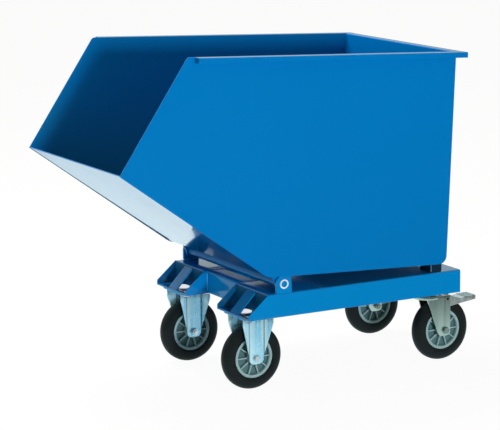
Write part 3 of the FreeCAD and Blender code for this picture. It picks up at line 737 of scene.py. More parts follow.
@dataclass(frozen=True)
class RimPlastic(MouldedPlastic):
    """Plastic of the rims, with painted shade in the pockets between the ribs.

    Attributes:
        grime: Dark colour painted in as the shade deep in the pockets.
        middle: Distance of the wheels from the trolley's middle.
        pocket: Distances from a wheel's middle between which the painted shade ends.
    """

    # Painted shade: the web between the ribs is darkened as the shade in the recess.
    grime: Color = (0.09, 0.19, 0.21)
    middle: float = 199.1 * MM
    pocket: Span = (8.0 * MM, 15.0 * MM)

    def mark(self, graph: Graph, clean: Socket) -> Socket:
        """Colour with painted shade that deepens towards the wheel's middle plane.

        Args:
            graph: Node graph of the material.
            clean: Colour of the clean plastic.

        Returns:
            The colour.
        """
        across = graph.place()[1]
        depth = (across.size() - self.middle).size()
        return graph.tint(depth.above(*self.pocket), self.grime, clean)


SKIP_PAINT: tuple[Color, Color] = ((0.0, 0.158, 0.478), (0.0, 0.168, 0.500))
# Painted light: the frame's blue is the skip's paint made lighter, for the brighter light on the rails.
FRAME_LIT_PAINT: tuple[Color, Color] = ((0.0, 0.205, 0.560), (0.0, 0.218, 0.585))

SKIP_BLUE = PowderCoat("skip_powder_coat", "skip_paint", *SKIP_PAINT)
SIDE_BLUE = SideCoat("side_powder_coat", "skip_paint", *SKIP_PAINT)
FRAME_BLUE = ShelteredCoat("frame_powder_coat", "frame_paint", *FRAME_LIT_PAINT)
# The trays and straps carry the pockets' painted shade, the straps a lighter share.
TRAY_BLUE = TrayCoat("tray_powder_coat", "frame_paint", *FRAME_LIT_PAINT)
STRAP_BLUE = TrayCoat("strap_powder_coat", "frame_paint", *FRAME_LIT_PAINT, amount=0.2)
# Painted highlight: the chassis beads wear a lighter blue than the frame so that they show as a bright line.
WELD_HIGHLIGHT_BLUE = PowderCoat("weld_powder_coat", "frame_paint", (0.05, 0.33, 0.70), (0.08, 0.38, 0.76))
BRIGHT_ZINC = BracketZinc("bright_zinc", "zinc_sheet", (0.28, 0.68, 0.94), (0.66, 0.92, 1.00), metal=0.6)
GREEN_ZINC = ZincPlate("passivated_zinc", "zinc_sheet", (0.42, 0.54, 0.47), (0.62, 0.70, 0.63))
PEDAL_ZINC = ZincPlate("pedal_zinc", "pedal_zinc", (0.52, 0.60, 0.57), (0.74, 0.80, 0.78), metal=0.8)
BRIGHT_STEEL = ZincPlate("bright_steel", "bright_steel", (0.56, 0.60, 0.62), (0.74, 0.78, 0.80),
                         roughness=0.22)
AXLE_STEEL = ZincPlate("axle_steel", "bright_steel", (0.22, 0.29, 0.26), (0.38, 0.44, 0.40),
                       roughness=0.32)
# Painted shade: the castor bolts are a dark navy that sinks them into the shade of the tray pockets.
SHADED_BOLT_STEEL = ZincPlate("bolt_steel", "bright_steel", (0.03, 0.07, 0.11), (0.06, 0.11, 0.16),
                       roughness=0.45, metal=0.6)
BUSH_STEEL = ZincPlate("bush_steel", "bright_steel", (0.84, 0.88, 0.90), (0.92, 0.95, 0.96),
                       roughness=0.35, metal=0.2)
TYRE_RUBBER = SolidRubber("tyre_rubber", "tyre_rubber", (0.006, 0.0085, 0.009), (0.010, 0.0145, 0.0155),
                          roughness=0.46)
BLOCK_RUBBER = BlockRubber("block_rubber", "block_rubber", (0.002, 0.018, 0.038), (0.003, 0.022, 0.046),
                           roughness=0.6)
RIM_PLASTIC = RimPlastic("rim_plastic", "rim_plastic", (0.27, 0.42, 0.46), (0.33, 0.48, 0.52))
# Painted light: the plugs glow so that they show white in the shaded pockets.
PLUG_PLASTIC = MouldedPlastic("plug_plastic", "plug_plastic", (0.90, 0.91, 0.91), (0.94, 0.95, 0.95),
                              glow=0.8)


def dress_node(name: str, finish: Finish) -> None:
    """Give a CAD node its finish.

    Args:
        name: Name of the node.
        finish: Finish that it takes.
    """
    mesh = frame["nodes"][name].data
    mesh.materials.clear()
    mesh.materials.append(finish.material())
    log.info("%s wears %s", name, finish.name)


def piece_from(mesh: Mesh, name: str, finish: Finish, body: str,
               crease: float = PIECE_CREASE) -> bpy.types.Object:
    """Finished piece from a bmesh, riding on a body.

    Args:
        mesh: Shape in the trolley's frame; it is freed.
        name: Name of the piece.
        finish: Finish of the piece.
        body: Body that it moves with.
        crease: Angle between faces, in degrees, past which an edge is drawn sharp.

    Returns:
        The piece.
    """
    bmesh.ops.recalc_face_normals(mesh, faces=mesh.faces)
    data = bpy.data.meshes.new(name)
    mesh.to_mesh(data)
    mesh.free()
    data.polygons.foreach_set("use_smooth", [True] * len(data.polygons))
    data.set_sharp_from_angle(angle=math.radians(crease))
    data.materials.append(finish.material())
    made = bpy.data.objects.new(name, data)
    bpy.context.scene.collection.objects.link(made)
    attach(made, body)
    log.info("%s rides on %s", name, body)
    return made


def body_of(node: str) -> str:
    """Body that a CAD node moves with."""
    bodies = frame["record"]["behaviour"]["bodies"]
    return next(body for body, nodes in bodies.items() if node in nodes)


def sharp_edges(mesh: Mesh, angle: float) -> list[bmesh.types.BMEdge]:
    """Edges whose two faces meet at more than an angle in degrees."""
    return [edge for edge in mesh.edges if edge.calc_face_angle(0.0) > math.radians(angle)]


def round_edges(mesh: Mesh, edges: list[bmesh.types.BMEdge], radius: float, segments: int = 2) -> None:
    """Round some edges of a mesh to a width, with a number of faces across."""
    bmesh.ops.bevel(mesh, geom=edges, offset=radius, offset_type="OFFSET", segments=segments,
                    profile=0.5, affect="EDGES", clamp_overlap=True, material=-1)


def soften(node: str, finish: Finish, radius: float, flush_x: float | None = None,
           reshape: Callable[[Vector], Vector] | None = None) -> None:
    """Show a CAD node as a copy with broken edges.

    Args:
        node: Name of the node.
        finish: Finish of the piece.
        radius: Width of the broken edges.
        flush_x: Plane of X where the piece meets a flush neighbour and keeps its edges.
        reshape: Small change of the corners' places.
    """
    mesh = bmesh.new()
    mesh.from_mesh(frame["nodes"][node].data)
    bmesh.ops.remove_doubles(mesh, verts=mesh.verts, dist=MERGE)
    bmesh.ops.dissolve_limit(mesh, angle_limit=math.radians(FLAT), verts=mesh.verts, edges=mesh.edges)
    if reshape:
        for corner in mesh.verts:
            corner.co = reshape(corner.co)
    edges = sharp_edges(mesh, SHEET_CORNER)
    if flush_x is not None:
        edges = [edge for edge in edges if any(abs(corner.co.x - flush_x) > MM for corner in edge.verts)]
    round_edges(mesh, edges, radius)
    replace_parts(piece_from(mesh, f"{node}_edged", finish, body_of(node), EDGED_CREASE), node)


def join(mesh: Mesh, part: Mesh) -> None:
    """Move a part's faces into a mesh.

    Args:
        mesh: Mesh that takes the part.
        part: Part; it is freed.
    """
    held = bpy.data.meshes.new("part")
    part.to_mesh(held)
    part.free()
    mesh.from_mesh(held)
    bpy.data.meshes.remove(held)


def weld_bead(mesh: Mesh, start: Vector, end: Vector) -> None:
    """Add a rippled weld bead between two points.

    Args:
        mesh: Mesh that takes the bead.
        start: First end.
        end: Other end.
    """
    way = end - start
    bead = bmesh.new()
    bmesh.ops.create_cone(bead, cap_ends=True, segments=BEAD_SIDES, radius1=BEAD_RADIUS, radius2=BEAD_RADIUS,
                          depth=way.length)
    along = [edge for edge in bead.edges if abs(edge.verts[0].co.z - edge.verts[1].co.z) > MM]
    bmesh.ops.subdivide_edges(bead, edges=along, cuts=round(BEAD_CUTS * way.length / BEAD_RIPPLE))
    for corner in bead.verts:
        swell = 1.0 + BEAD_SWELL * math.sin(math.tau * corner.co.z / BEAD_RIPPLE)
        corner.co.x *= swell
        corner.co.y *= swell
    turn = way.to_track_quat("Z", "Y").to_matrix().to_4x4()
    bmesh.ops.transform(bead, matrix=Matrix.Translation((start + end) / 2) @ turn, verts=bead.verts)
    join(mesh, bead)


def ring_of(mesh: Mesh, profile: Iterable[Span], steps: int) -> None:
    """Spin a closed profile about the Y axis.

    Args:
        mesh: Bmesh that takes the ring.
        profile: Radius and Y of the corners.
        steps: Number of steps of the turn.
    """
    corners = [mesh.verts.new((radius, y, 0.0)) for radius, y in profile]
    edges = [mesh.edges.new((first, second)) for first, second in zip(corners, corners[1:] + corners[:1])]
    bmesh.ops.spin(mesh, geom=corners + edges, cent=(0, 0, 0), axis=(0, 1, 0),
                   angle=math.tau, steps=steps, use_merge=True)
    bmesh.ops.remove_doubles(mesh, verts=mesh.verts, dist=SEAM)


def arc(centre: Span, radius: float, start: float, stop: float, steps: int) -> list[Span]:
    """Points along an arc, angles in degrees."""
    turns = [math.radians(start + (stop - start) * step / steps) for step in range(steps + 1)]
    return [(centre[0] + radius * math.cos(turn), centre[1] + radius * math.sin(turn)) for turn in turns]


@dataclass
class Wheel:
    """Solid-tyred wheel with a ribbed plastic rim.

    Attributes:
        end: Front or rear axle.
        side: Side of the trolley.
        tread: Radius of the wheel.
        seat: Radius where the tyre sits on the rim.
        flank: Half-width of the tyre.
        bead: Rise from the seat and distance from the middle, in mm, along a bead and its raised ring.
        shoulder: Radius of the tyre's round shoulders.
        shoulder_steps: Steps of that round.
        ring_edge: Half-width of the rim's ring.
        ring_wall: Thickness of the ring.
        web: Half-thickness of the web.
        hub: Radius of the hub.
        hub_half: Half-length of the hub.
        bore: Radius of the hub's bore.
        soft: Width of the rim's broken edges.
        fillet: Width of the fillets beside the web.
        rib_count: Number of ribs.
        rib_half: Half-width of a rib at the hub.
        rib_thick: Thickness of a rib at the hub and at the ring.
        rib_drop: How far a rib's edge falls towards the ring.
        rib_root: How deep a rib runs into the hub and the ring.
        rib_edge: Width of a rib's broken edges.
        axle_edge: Width of the axle bolt's broken edges.
        steps: Steps of the turn.
        tag: Name of the wheel's place.
    """

    end: End
    side: Side
    tread: float = 100.0 * MM
    seat: float = 64.0 * MM
    flank: float = 23.0 * MM
    bead: tuple[Span, ...] = (
        (0.0, 19.0), (1.2, 21.2), (3.0, 22.4), (6.5, 22.8), (7.0, 22.1), (8.2, 22.1), (8.8, 23.0))
    shoulder: float = 21.0 * MM
    shoulder_steps: int = 12
    ring_edge: float = 19.0 * MM
    ring_wall: float = 9.0 * MM
    web: float = 4.5 * MM
    hub: float = 21.0 * MM
    hub_half: float = 29.0 * MM
    bore: float = 12.5 * MM
    soft: float = 1.2 * MM
    fillet: float = 3.0 * MM
    rib_count: int = 10
    rib_half: float = 17.5 * MM
    rib_thick: Span = (4.4 * MM, 3.2 * MM)
    rib_drop: float = 2.0 * MM
    rib_root: float = 1.0 * MM
    rib_edge: float = 0.5 * MM
    axle_edge: float = 0.8 * MM
    steps: int = 112
    tag: str = field(init=False)

    def __post_init__(self) -> None:
        """Name the wheel by its place."""
        self.tag = f"{self.end.value}_{self.side.word}"

    def middle(self) -> Vector:
        """Centre of the wheel in the trolley's frame."""
        low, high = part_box(f"tyre_{self.tag}")
        return (low + high) / 2

    def build(self) -> None:
        """Tyre and rim in place of the plain solids, and the axle bolt with broken edges."""
        body = f"wheel_{self.tag}"
        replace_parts(piece_from(self.tyre(), f"solid_tyre_{self.tag}", TYRE_RUBBER, body), f"tyre_{self.tag}")
        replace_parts(piece_from(self.rim(), f"ribbed_rim_{self.tag}", RIM_PLASTIC, body), f"rim_{self.tag}")
        dress_node(f"hub_bush_{self.tag}", BRIGHT_STEEL)
        steel = AXLE_STEEL if self.end is End.REAR else BRIGHT_STEEL
        soften(f"axle_{self.tag}", steel, self.axle_edge)

    def tyre(self) -> Mesh:
        """Tyre with beads, a raised ring on each flank and round shoulders.

        Returns:
            The tyre in its place.
        """
        centre = (self.tread - self.shoulder, self.flank - self.shoulder)
        half = [(self.seat + rise * MM, out * MM) for rise, out in self.bead]
        half += arc(centre, self.shoulder, 90.0, 0.0, self.shoulder_steps)
        profile = [(r, -y) for r, y in half] + list(reversed(half))
        mesh = bmesh.new()
        ring_of(mesh, profile, self.steps)
        bmesh.ops.translate(mesh, verts=mesh.verts, vec=self.middle())
        return mesh

    def rim(self) -> Mesh:
        """Rim with hub, web, ring and radial ribs on both faces.

        Returns:
            The rim in its place.
        """
        inner = self.seat - self.ring_wall
        half = [(self.bore, self.hub_half),
                (self.hub - self.soft, self.hub_half),
                (self.hub, self.hub_half - self.soft),
                (self.hub + self.fillet / 2, self.web + self.soft),
                (self.hub + self.fillet, self.web),
                (inner - self.fillet, self.web),
                (inner - self.fillet / 3, self.web + self.fillet * 2 / 3),
                (inner, self.ring_edge - self.soft),
                (inner + self.soft, self.ring_edge),
                (self.seat - self.soft, self.ring_edge),
                (self.seat, self.ring_edge - self.soft)]
        mesh = bmesh.new()
        ring_of(mesh, half + [(r, -y) for r, y in reversed(half)], self.steps)
        for index in range(self.rib_count):
            self.add_rib(mesh, math.tau * index / self.rib_count)
        bmesh.ops.translate(mesh, verts=mesh.verts, vec=self.middle())
        return mesh

    def add_rib(self, mesh: Mesh, turn: float) -> None:
        """Add one rib that thins towards the ring.

        Args:
            mesh: Rim at the origin.
            turn: Angle of the rib about the axle.
        """
        start = self.hub - self.rib_root
        stop = self.seat - self.ring_wall + self.rib_root
        made = bmesh.ops.create_cube(mesh, size=1.0)["verts"]
        for corner in made:
            outward = corner.co.x > 0
            corner.co.x = stop if outward else start
            corner.co.y *= 2 * (self.rib_half - (self.rib_drop if outward else 0.0))
            corner.co.z *= self.rib_thick[1] if outward else self.rib_thick[0]
        edges = list({edge for corner in made for edge in corner.link_edges})
        rounded = bmesh.ops.bevel(mesh, geom=edges, offset=self.rib_edge, offset_type="OFFSET", segments=2,
                                  profile=0.5, affect="EDGES", material=-1)
        corners = {corner for face in rounded["faces"] for corner in face.verts}
        corners |= {corner for corner in made if corner.is_valid}
        bmesh.ops.rotate(mesh, verts=list(corners), cent=(0, 0, 0), matrix=Matrix.Rotation(turn, 3, "Y"))


@dataclass
class Skip:
    """Open skip: bent trough, side sheets, hinge lugs, pivot tube and handle.

    Attributes:
        pivot_x: Place of the tipping axis along the trolley.
        pivot_z: Height of the tipping axis.
        tilt: Turn of the lowered skip about the axis, in degrees.
        seam: Distance of the trough's edge from the middle.
        floor: Underside of the floor from the axis.
        wall: Back of the rear wall from the axis.
        edge: Height from the axis where the chute's line meets the bend.
        bend: Where the chute leaves the floor.
        bend_half: Half-length of the bend between floor and chute.
        close: How far the chute is set down between the side sheets.
        lip: Reach and rise of the chute's lip.
        top: Height of the rim from the axis.
        handle: Half-width, height and bar radius of the handle.
        handle_bead: Half-width of the handle's ring welds.
        handle_steps: Steps round a ring weld.
        sheet_edge: Width of the sheets' broken edges.
        lug_edge: Width of the hinge lugs' broken edges.
        stitch: Length of a weld stitch.
        stitch_pitch: Distance between the starts of two stitches.
        seam_start: Distance from a bend to the first stitch.
        seam_end: Distance that the stitches keep from a seam's other end.
    """

    pivot_x: float = -101.8 * MM
    pivot_z: float = 335.6 * MM
    tilt: float = 2.6
    seam: float = 310.3 * MM
    floor: float = 30.0 * MM
    wall: float = 570.9 * MM
    edge: float = 26.0 * MM
    bend: float = -65.3 * MM
    bend_half: float = 18.0 * MM
    close: float = 3.0 * MM
    lip: Span = (-563.5 * MM, 351.2 * MM)
    top: float = 686.8 * MM
    handle: tuple[float, float, float] = (146.0 * MM, 571.8 * MM, 12.5 * MM)
    handle_bead: float = 2.6 * MM
    handle_steps: int = 40
    sheet_edge: float = 0.7 * MM
    lug_edge: float = 1.0 * MM
    stitch: float = 38.0 * MM
    stitch_pitch: float = 118.0 * MM
    seam_start: float = 60.0 * MM
    seam_end: float = 40.0 * MM

    def build(self) -> None:
        """Sheets with broken edges, and the weld stitches along their seams."""
        soften("skip_trough", SKIP_BLUE, self.sheet_edge, reshape=self.close_chute)
        for side in Side:
            soften(f"skip_side_{side.word}", SIDE_BLUE, self.sheet_edge)
            soften(f"hinge_lug_{side.word}", SKIP_BLUE, self.lug_edge)
        mesh = bmesh.new()
        for side in Side:
            y = side.value * self.seam
            self.stitches(mesh, (self.bend + self.seam_start, y, self.floor),
                          (self.wall - self.seam_end, y, self.floor))
            self.stitches(mesh, (self.wall, y, self.floor + self.seam_start),
                          (self.wall, y, self.top - self.seam_end))
            self.handle_weld(mesh, side.value * self.handle[0])
        piece_from(mesh, "skip_weld_beads", SKIP_BLUE, "skip")

    def dress(self) -> None:
        """Paint the tube, the handle and the shaft."""
        for name in ("push_handle", "pivot_tube"):
            dress_node(name, SKIP_BLUE)
        dress_node("pivot_shaft", FRAME_BLUE)

    def lean(self) -> Matrix:
        """Turn of the lowered skip."""
        return Matrix.Rotation(math.radians(self.tilt), 3, "Y")

    def pivot(self) -> Vector:
        """Point on the tipping axis in the middle of the trolley."""
        return Vector((self.pivot_x, 0.0, self.pivot_z))

    def spot(self, place: Point) -> Vector:
        """Point of the lowered skip, given from the tipping axis."""
        return self.lean() @ Vector(place) + self.pivot()

    def close_chute(self, place: Vector) -> Vector:
        """Point of the trough, moved so that the chute ends almost flush with the side sheets.

        Args:
            place: Point of the lowered skip.

        Returns:
            The moved point.
        """
        own = self.lean().transposed() @ (place - self.pivot())
        way = Vector((self.lip[0] - self.bend, 0.0, self.lip[1] - self.edge)).normalized()
        share = min(1.0, max(0.0, (self.bend + self.bend_half - own.x) / (2 * self.bend_half)))
        return place + self.lean() @ Vector((-way.z, 0.0, way.x)) * (share * self.close)

    def stitches(self, mesh: Mesh, start: Point, end: Point) -> None:
        """Row of short weld beads along a seam.

        Args:
            mesh: Mesh that takes the beads.
            start: First end of the seam, from the tipping axis.
            end: Other end.
        """
        first, last = self.spot(start), self.spot(end)
        length = (last - first).length
        way = (last - first) / length
        for step in range(int((length - self.stitch) / self.stitch_pitch) + 1):
            near = first + way * (step * self.stitch_pitch)
            weld_bead(mesh, near, near + way * self.stitch)

    def handle_weld(self, mesh: Mesh, y: float) -> None:
        """Ring weld where an end of the handle meets the rear wall.

        Args:
            mesh: Mesh that takes the weld.
            y: Place of the handle's end.
        """
        last = 360.0 - 360.0 / BEAD_SIDES
        profile = arc((self.handle[2], 0.0), self.handle_bead, 0.0, last, BEAD_SIDES - 1)
        ring = bmesh.new()
        ring_of(ring, profile, self.handle_steps)
        turn = self.lean() @ Matrix.Rotation(math.pi / 2, 3, "Z")
        bmesh.ops.rotate(ring, verts=ring.verts, cent=(0, 0, 0), matrix=turn)
        bmesh.ops.translate(ring, verts=ring.verts, vec=self.spot((self.wall, y, self.handle[1])))
        join(mesh, ring)


@dataclass
class Chassis:
    """Folded rails, cross-members, castor trays, pivot brackets and rest blocks.

    Attributes:
        joint_x: Plane where the trays meet the rails.
        cross_x: Face of the front cross-member.
        rail_in: Inner wall of the rails.
        deck: Height of the deck.
        low: Underside of the rails.
        bracket_in: Inner face of the pivot brackets.
        bracket: Front and rear of a pivot bracket's foot.
        sheet_edge: Width of the sheets' broken edges.
        block_edge: Width of the rest blocks' rounded edges.
        bush_edge: Width of the bushes' broken edges.
        bead_gap: Distance of the upright beads from the deck and the underside.
    """

    joint_x: float = -155.5 * MM
    cross_x: float = -146.1 * MM
    rail_in: float = 100.8 * MM
    deck: float = 307.0 * MM
    low: float = 235.0 * MM
    bracket_in: float = 289.4 * MM
    bracket: Span = (-128.8 * MM, -74.8 * MM)
    sheet_edge: float = 0.8 * MM
    block_edge: float = 3.0 * MM
    bush_edge: float = 0.5 * MM
    bead_gap: float = 7.0 * MM

    def build(self) -> None:
        """Sheets with broken edges, rounded rubber blocks and the weld beads."""
        for node in ("front_cross_member", "rear_cross_member", "rail_end_plates"):
            soften(node, FRAME_BLUE, self.sheet_edge)
        for side in Side:
            for node, finish in (("rail", FRAME_BLUE), ("castor_tray", TRAY_BLUE), ("tray_strap", STRAP_BLUE),
                                 ("pivot_bracket", FRAME_BLUE), ("rear_castor_pad", FRAME_BLUE)):
                soften(f"{node}_{side.word}", finish, self.sheet_edge, self.joint_x)
            soften(f"rest_block_{side.word}", BLOCK_RUBBER, self.block_edge)
        soften("pivot_bushes", BUSH_STEEL, self.bush_edge)
        mesh = bmesh.new()
        for side in Side:
            y = side.value * self.rail_in
            weld_bead(mesh, Vector((self.cross_x, y, self.low + self.bead_gap)),
                      Vector((self.cross_x, y, self.deck - self.bead_gap)))
            y = side.value * self.bracket_in
            weld_bead(mesh, Vector((self.bracket[0], y, self.deck)), Vector((self.bracket[1], y, self.deck)))
        # The beads' lighter blue is a painted highlight.
        piece_from(mesh, "chassis_weld_beads", WELD_HIGHLIGHT_BLUE, "chassis")

    def dress(self) -> None:
        """Leave washers and nuts bright, darken the bolts with painted shade and give the plugs a painted
        white glow.
        """
        for name in ("pivot_washers", "castor_nuts"):
            dress_node(name, BRIGHT_STEEL)
        dress_node("castor_bolts", SHADED_BOLT_STEEL)
        for side in Side:
            dress_node(f"tray_plug_{side.word}", PLUG_PLASTIC)


@dataclass
class SheetLegs:
    """Two sheet legs beside a wheel, bent along upright folds with a real bend radius.

    Attributes:
        rows: Height, front and back edge of the legs from the top down; the edges are given from the axle.
        fold_front: Distance of the front fold from the axle.
        fold_back: Distance of the rear fold from the axle.
        angle: Turn of the wings in degrees, outwards if positive.
        inside: Inner face of the legs from the wheel's middle.
        sheet: Thickness of the sheet.
        bend: Half-width of the bend at a fold.
        columns: Faces across a leg.
    """

    rows: list[Row]
    fold_front: float
    fold_back: float
    angle: float
    inside: float = 31.0 * MM
    sheet: float = 4.0 * MM
    bend: float = 5.0 * MM
    columns: int = 44

    def wing(self, x: float) -> float:
        """How far the sheet leans out at a distance from the axle.

        Args:
            x: Place along the trolley, from the axle.

        Returns:
            Offset from the flat middle of the leg.
        """
        past = max(-x - self.fold_front, x - self.fold_back)
        lean = math.tan(math.radians(self.angle))
        if past <= -self.bend:
            return 0.0
        if past >= self.bend:
            return past * lean
        return lean * (past + self.bend) ** 2 / (4 * self.bend)

    def add(self, mesh: Mesh, side: Side) -> None:
        """Add one leg, with the axle above the origin.

        Args:
            mesh: Mesh that takes the leg.
            side: Side of the wheel.
        """
        count = len(self.rows) - 1
        grid = bmesh.ops.create_grid(mesh, x_segments=self.columns, y_segments=count, size=1.0)["verts"]
        for corner in grid:
            height, front, back = self.rows[round((1.0 - corner.co.y) / 2 * count)]
            x = front + (back - front) * (corner.co.x + 1.0) / 2
            corner.co = (x, side.value * (self.inside + self.wing(x)), height)
        faces = list({face for corner in grid for face in corner.link_faces})
        moved = bmesh.ops.extrude_face_region(mesh, geom=faces)["geom"]
        outer = [item for item in moved if isinstance(item, bmesh.types.BMVert)]
        bmesh.ops.translate(mesh, verts=outer, vec=(0.0, side.value * self.sheet, 0.0))


def rounded_foot(foot: float, front: float, back: float, radius: float) -> list[Row]:
    """Rows of a leg's foot with two round corners.

    Args:
        foot: Height of the foot.
        front: Front edge above the corners.
        back: Back edge above the corners.
        radius: Radius of the corners.

    Returns:
        Height, front and back edge of each row, from the top down.
    """
    rows = []
    for step in range(FOOT_STEPS + 1):
        turn = math.radians(90.0 * step / FOOT_STEPS)
        cut = radius * (1.0 - math.cos(turn))
        rows.append((foot + radius * (1.0 - math.sin(turn)), front + cut, back - cut))
    return rows


@dataclass
class Castors:
    """Brackets, forks, brakes and swivel heads of the four castors.

    Attributes:
        axle: Height of the axles.
        foot: Height of the legs' feet.
        track: Distance of the wheels from the middle.
        front_x: Place of the front axles.
        rear_x: Place of the rear axles.
        plate_low: Underside of the castors' top plates.
        base: Top of the top plates.
        plate: Length and width of a top plate.
        plate_round: Radius of a top plate's corners.
        plate_steps: Faces across a round corner.
        plate_edge: Width of the plates' broken edges.
        leg_edge: Width of the legs' broken edges.
        pedal_edge: Width of the pedals' broken edges.
        taper_steps: Rows along the taper of a leg.
        leg_top: Half-width of a fixed bracket's leg at the plate.
        leg_shoulder: Height of the leg's straight top.
        leg_waist: Half-width at the taper's end.
        waist_rise: Height of the taper's end above the axle.
        leg_foot: Half-width at the axle.
        foot_round: Radius of the foot's corners.
        wing_fold: Distance of a bracket's folds from the axle.
        wing_angle: Turn of a bracket's wings, in degrees.
        trail: Distance of the kingpin ahead of the rear axle.
        crown: Top of the fork's crown.
        crown_plate: Thickness of the crown.
        crown_half: Half-width of the crown.
        crown_reach: Reach of the crown ahead of the kingpin and behind it.
        crown_round: Radius of the crown's corners.
        head: Radius of the race seat.
        seat_rise: How far the race seat stands above the crown.
        seat_sides: Sides of the race seat.
        seat_edge: Width of the race seat's broken edges.
        fork_front: Front edge of the fork's legs at the crown.
        fork_taper: How far the front edge runs back towards the axle.
        fork_back: Back edge of the fork's legs.
        fork_drop: Depth of the taper's end below the axle.
        fork_toe: Front edge at the foot.
        fork_round: Radius of the fork's foot corners.
        fork_folds: Distances of the front and the rear fold from the axle.
        fork_angle: Turn of the fork's wings, in degrees.
    """

    axle: float = 100.0 * MM
    foot: float = 83.0 * MM
    track: float = 199.1 * MM
    front_x: float = -161.6 * MM
    rear_x: float = 527.7 * MM
    plate_low: float = 229.0 * MM
    base: float = 235.0 * MM
    plate: Span = (115.0 * MM, 140.0 * MM)
    plate_round: float = 12.0 * MM
    plate_steps: int = 5
    plate_edge: float = 0.8 * MM
    leg_edge: float = 0.7 * MM
    pedal_edge: float = 0.5 * MM
    taper_steps: int = 14
    leg_top: float = 52.0 * MM
    leg_shoulder: float = 23.0 * MM
    leg_waist: float = 25.0 * MM
    waist_rise: float = 5.0 * MM
    leg_foot: float = 24.0 * MM
    foot_round: float = 15.0 * MM
    wing_fold: float = 25.0 * MM
    wing_angle: float = 26.0
    trail: float = 52.0 * MM
    crown: float = 213.0 * MM
    crown_plate: float = 8.0 * MM
    crown_half: float = 26.0 * MM
    crown_reach: Span = (35.0 * MM, 30.0 * MM)
    crown_round: float = 4.0 * MM
    head: float = 42.0 * MM
    seat_rise: float = 2.0 * MM
    seat_sides: int = 64
    seat_edge: float = 1.0 * MM
    fork_front: float = -65.0 * MM
    fork_taper: float = 35.0 * MM
    fork_back: float = 18.0 * MM
    fork_drop: float = 4.0 * MM
    fork_toe: float = -28.0 * MM
    fork_round: float = 13.0 * MM
    fork_folds: Span = (30.0 * MM, 50.0 * MM)
    fork_angle: float = -12.0

    def build(self) -> None:
        """Bent legs with their plates, and the pressed brake pedals."""
        for side in Side:
            place = Vector((self.front_x, side.value * self.track, 0.0))
            self.show(self.fixed_bracket(), f"bent_bracket_{side.word}", BRIGHT_ZINC, place,
                      f"front_bracket_{side.word}")
            place = Vector((self.rear_x, side.value * self.track, 0.0))
            self.show(self.fork(), f"bent_fork_{side.word}", GREEN_ZINC, place, f"swivel_fork_{side.word}")
            soften(f"brake_pedal_{side.word}", PEDAL_ZINC, self.pedal_edge)
            soften(f"swivel_plate_{side.word}", GREEN_ZINC, self.plate_edge)

    def dress(self) -> None:
        """Leave pins and balls bright."""
        for side in Side:
            for name in ("kingpin", "swivel_balls", "brake_pin"):
                dress_node(f"{name}_{side.word}", BRIGHT_STEEL)

    def show(self, mesh: Mesh, name: str, finish: Finish, place: Vector, node: str) -> None:
        """Set a castor piece over a point of the floor, below its axle's middle, instead of a node."""
        bmesh.ops.translate(mesh, verts=mesh.verts, vec=place)
        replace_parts(piece_from(mesh, name, finish, body_of(node), LEG_CREASE), node)

    def legs(self, mesh: Mesh, pair: SheetLegs) -> None:
        """Add both legs and break their edges.

        Args:
            mesh: Mesh that takes the legs.
            pair: Shape of the legs.
        """
        for side in Side:
            pair.add(mesh, side)
        bmesh.ops.recalc_face_normals(mesh, faces=mesh.faces)
        round_edges(mesh, sharp_edges(mesh, LEG_CORNER), self.leg_edge)

    def block(self, mesh: Mesh, low: Point, high: Point, corner: float) -> None:
        """Add a plate with round corners and broken edges.

        Args:
            mesh: Mesh that takes the plate.
            low: Least coordinates.
            high: Greatest coordinates.
            corner: Radius of the upright corners.
        """
        part = bmesh.new()
        made = bmesh.ops.create_cube(part, size=1.0)["verts"]
        size = Vector(high) - Vector(low)
        bmesh.ops.scale(part, verts=made, vec=size)
        bmesh.ops.translate(part, verts=made, vec=(Vector(high) + Vector(low)) / 2)
        upright = [edge for edge in part.edges if abs(edge.verts[0].co.z - edge.verts[1].co.z) > size.z / 2]
        round_edges(part, upright, corner, self.plate_steps)
        round_edges(part, sharp_edges(part, PLATE_CORNER), self.plate_edge)
        join(mesh, part)

    def fixed_bracket(self) -> Mesh:
        """Bracket of a fixed castor: top plate and two legs with wings that flare outwards.

        Returns:
            The bracket with its axle above the Y axis.
        """
        mesh = bmesh.new()
        top = self.plate_low - self.leg_shoulder
        end = self.axle + self.waist_rise
        rows = [(self.plate_low, -self.leg_top, self.leg_top), (top, -self.leg_top, self.leg_top)]
        for step in range(1, self.taper_steps + 1):
            share = step / self.taper_steps
            half = self.leg_top + (self.leg_waist - self.leg_top) * share
            rows.append((top + (end - top) * share, -half, half))
        rows.append((self.axle, -self.leg_foot, self.leg_foot))
        rows += rounded_foot(self.foot, -self.leg_foot, self.leg_foot, self.foot_round)
        self.legs(mesh, SheetLegs(rows, self.wing_fold, self.wing_fold, self.wing_angle))
        length, width = self.plate
        self.block(mesh, (-length / 2, -width / 2, self.plate_low), (length / 2, width / 2, self.base),
                   self.plate_round)
        return mesh

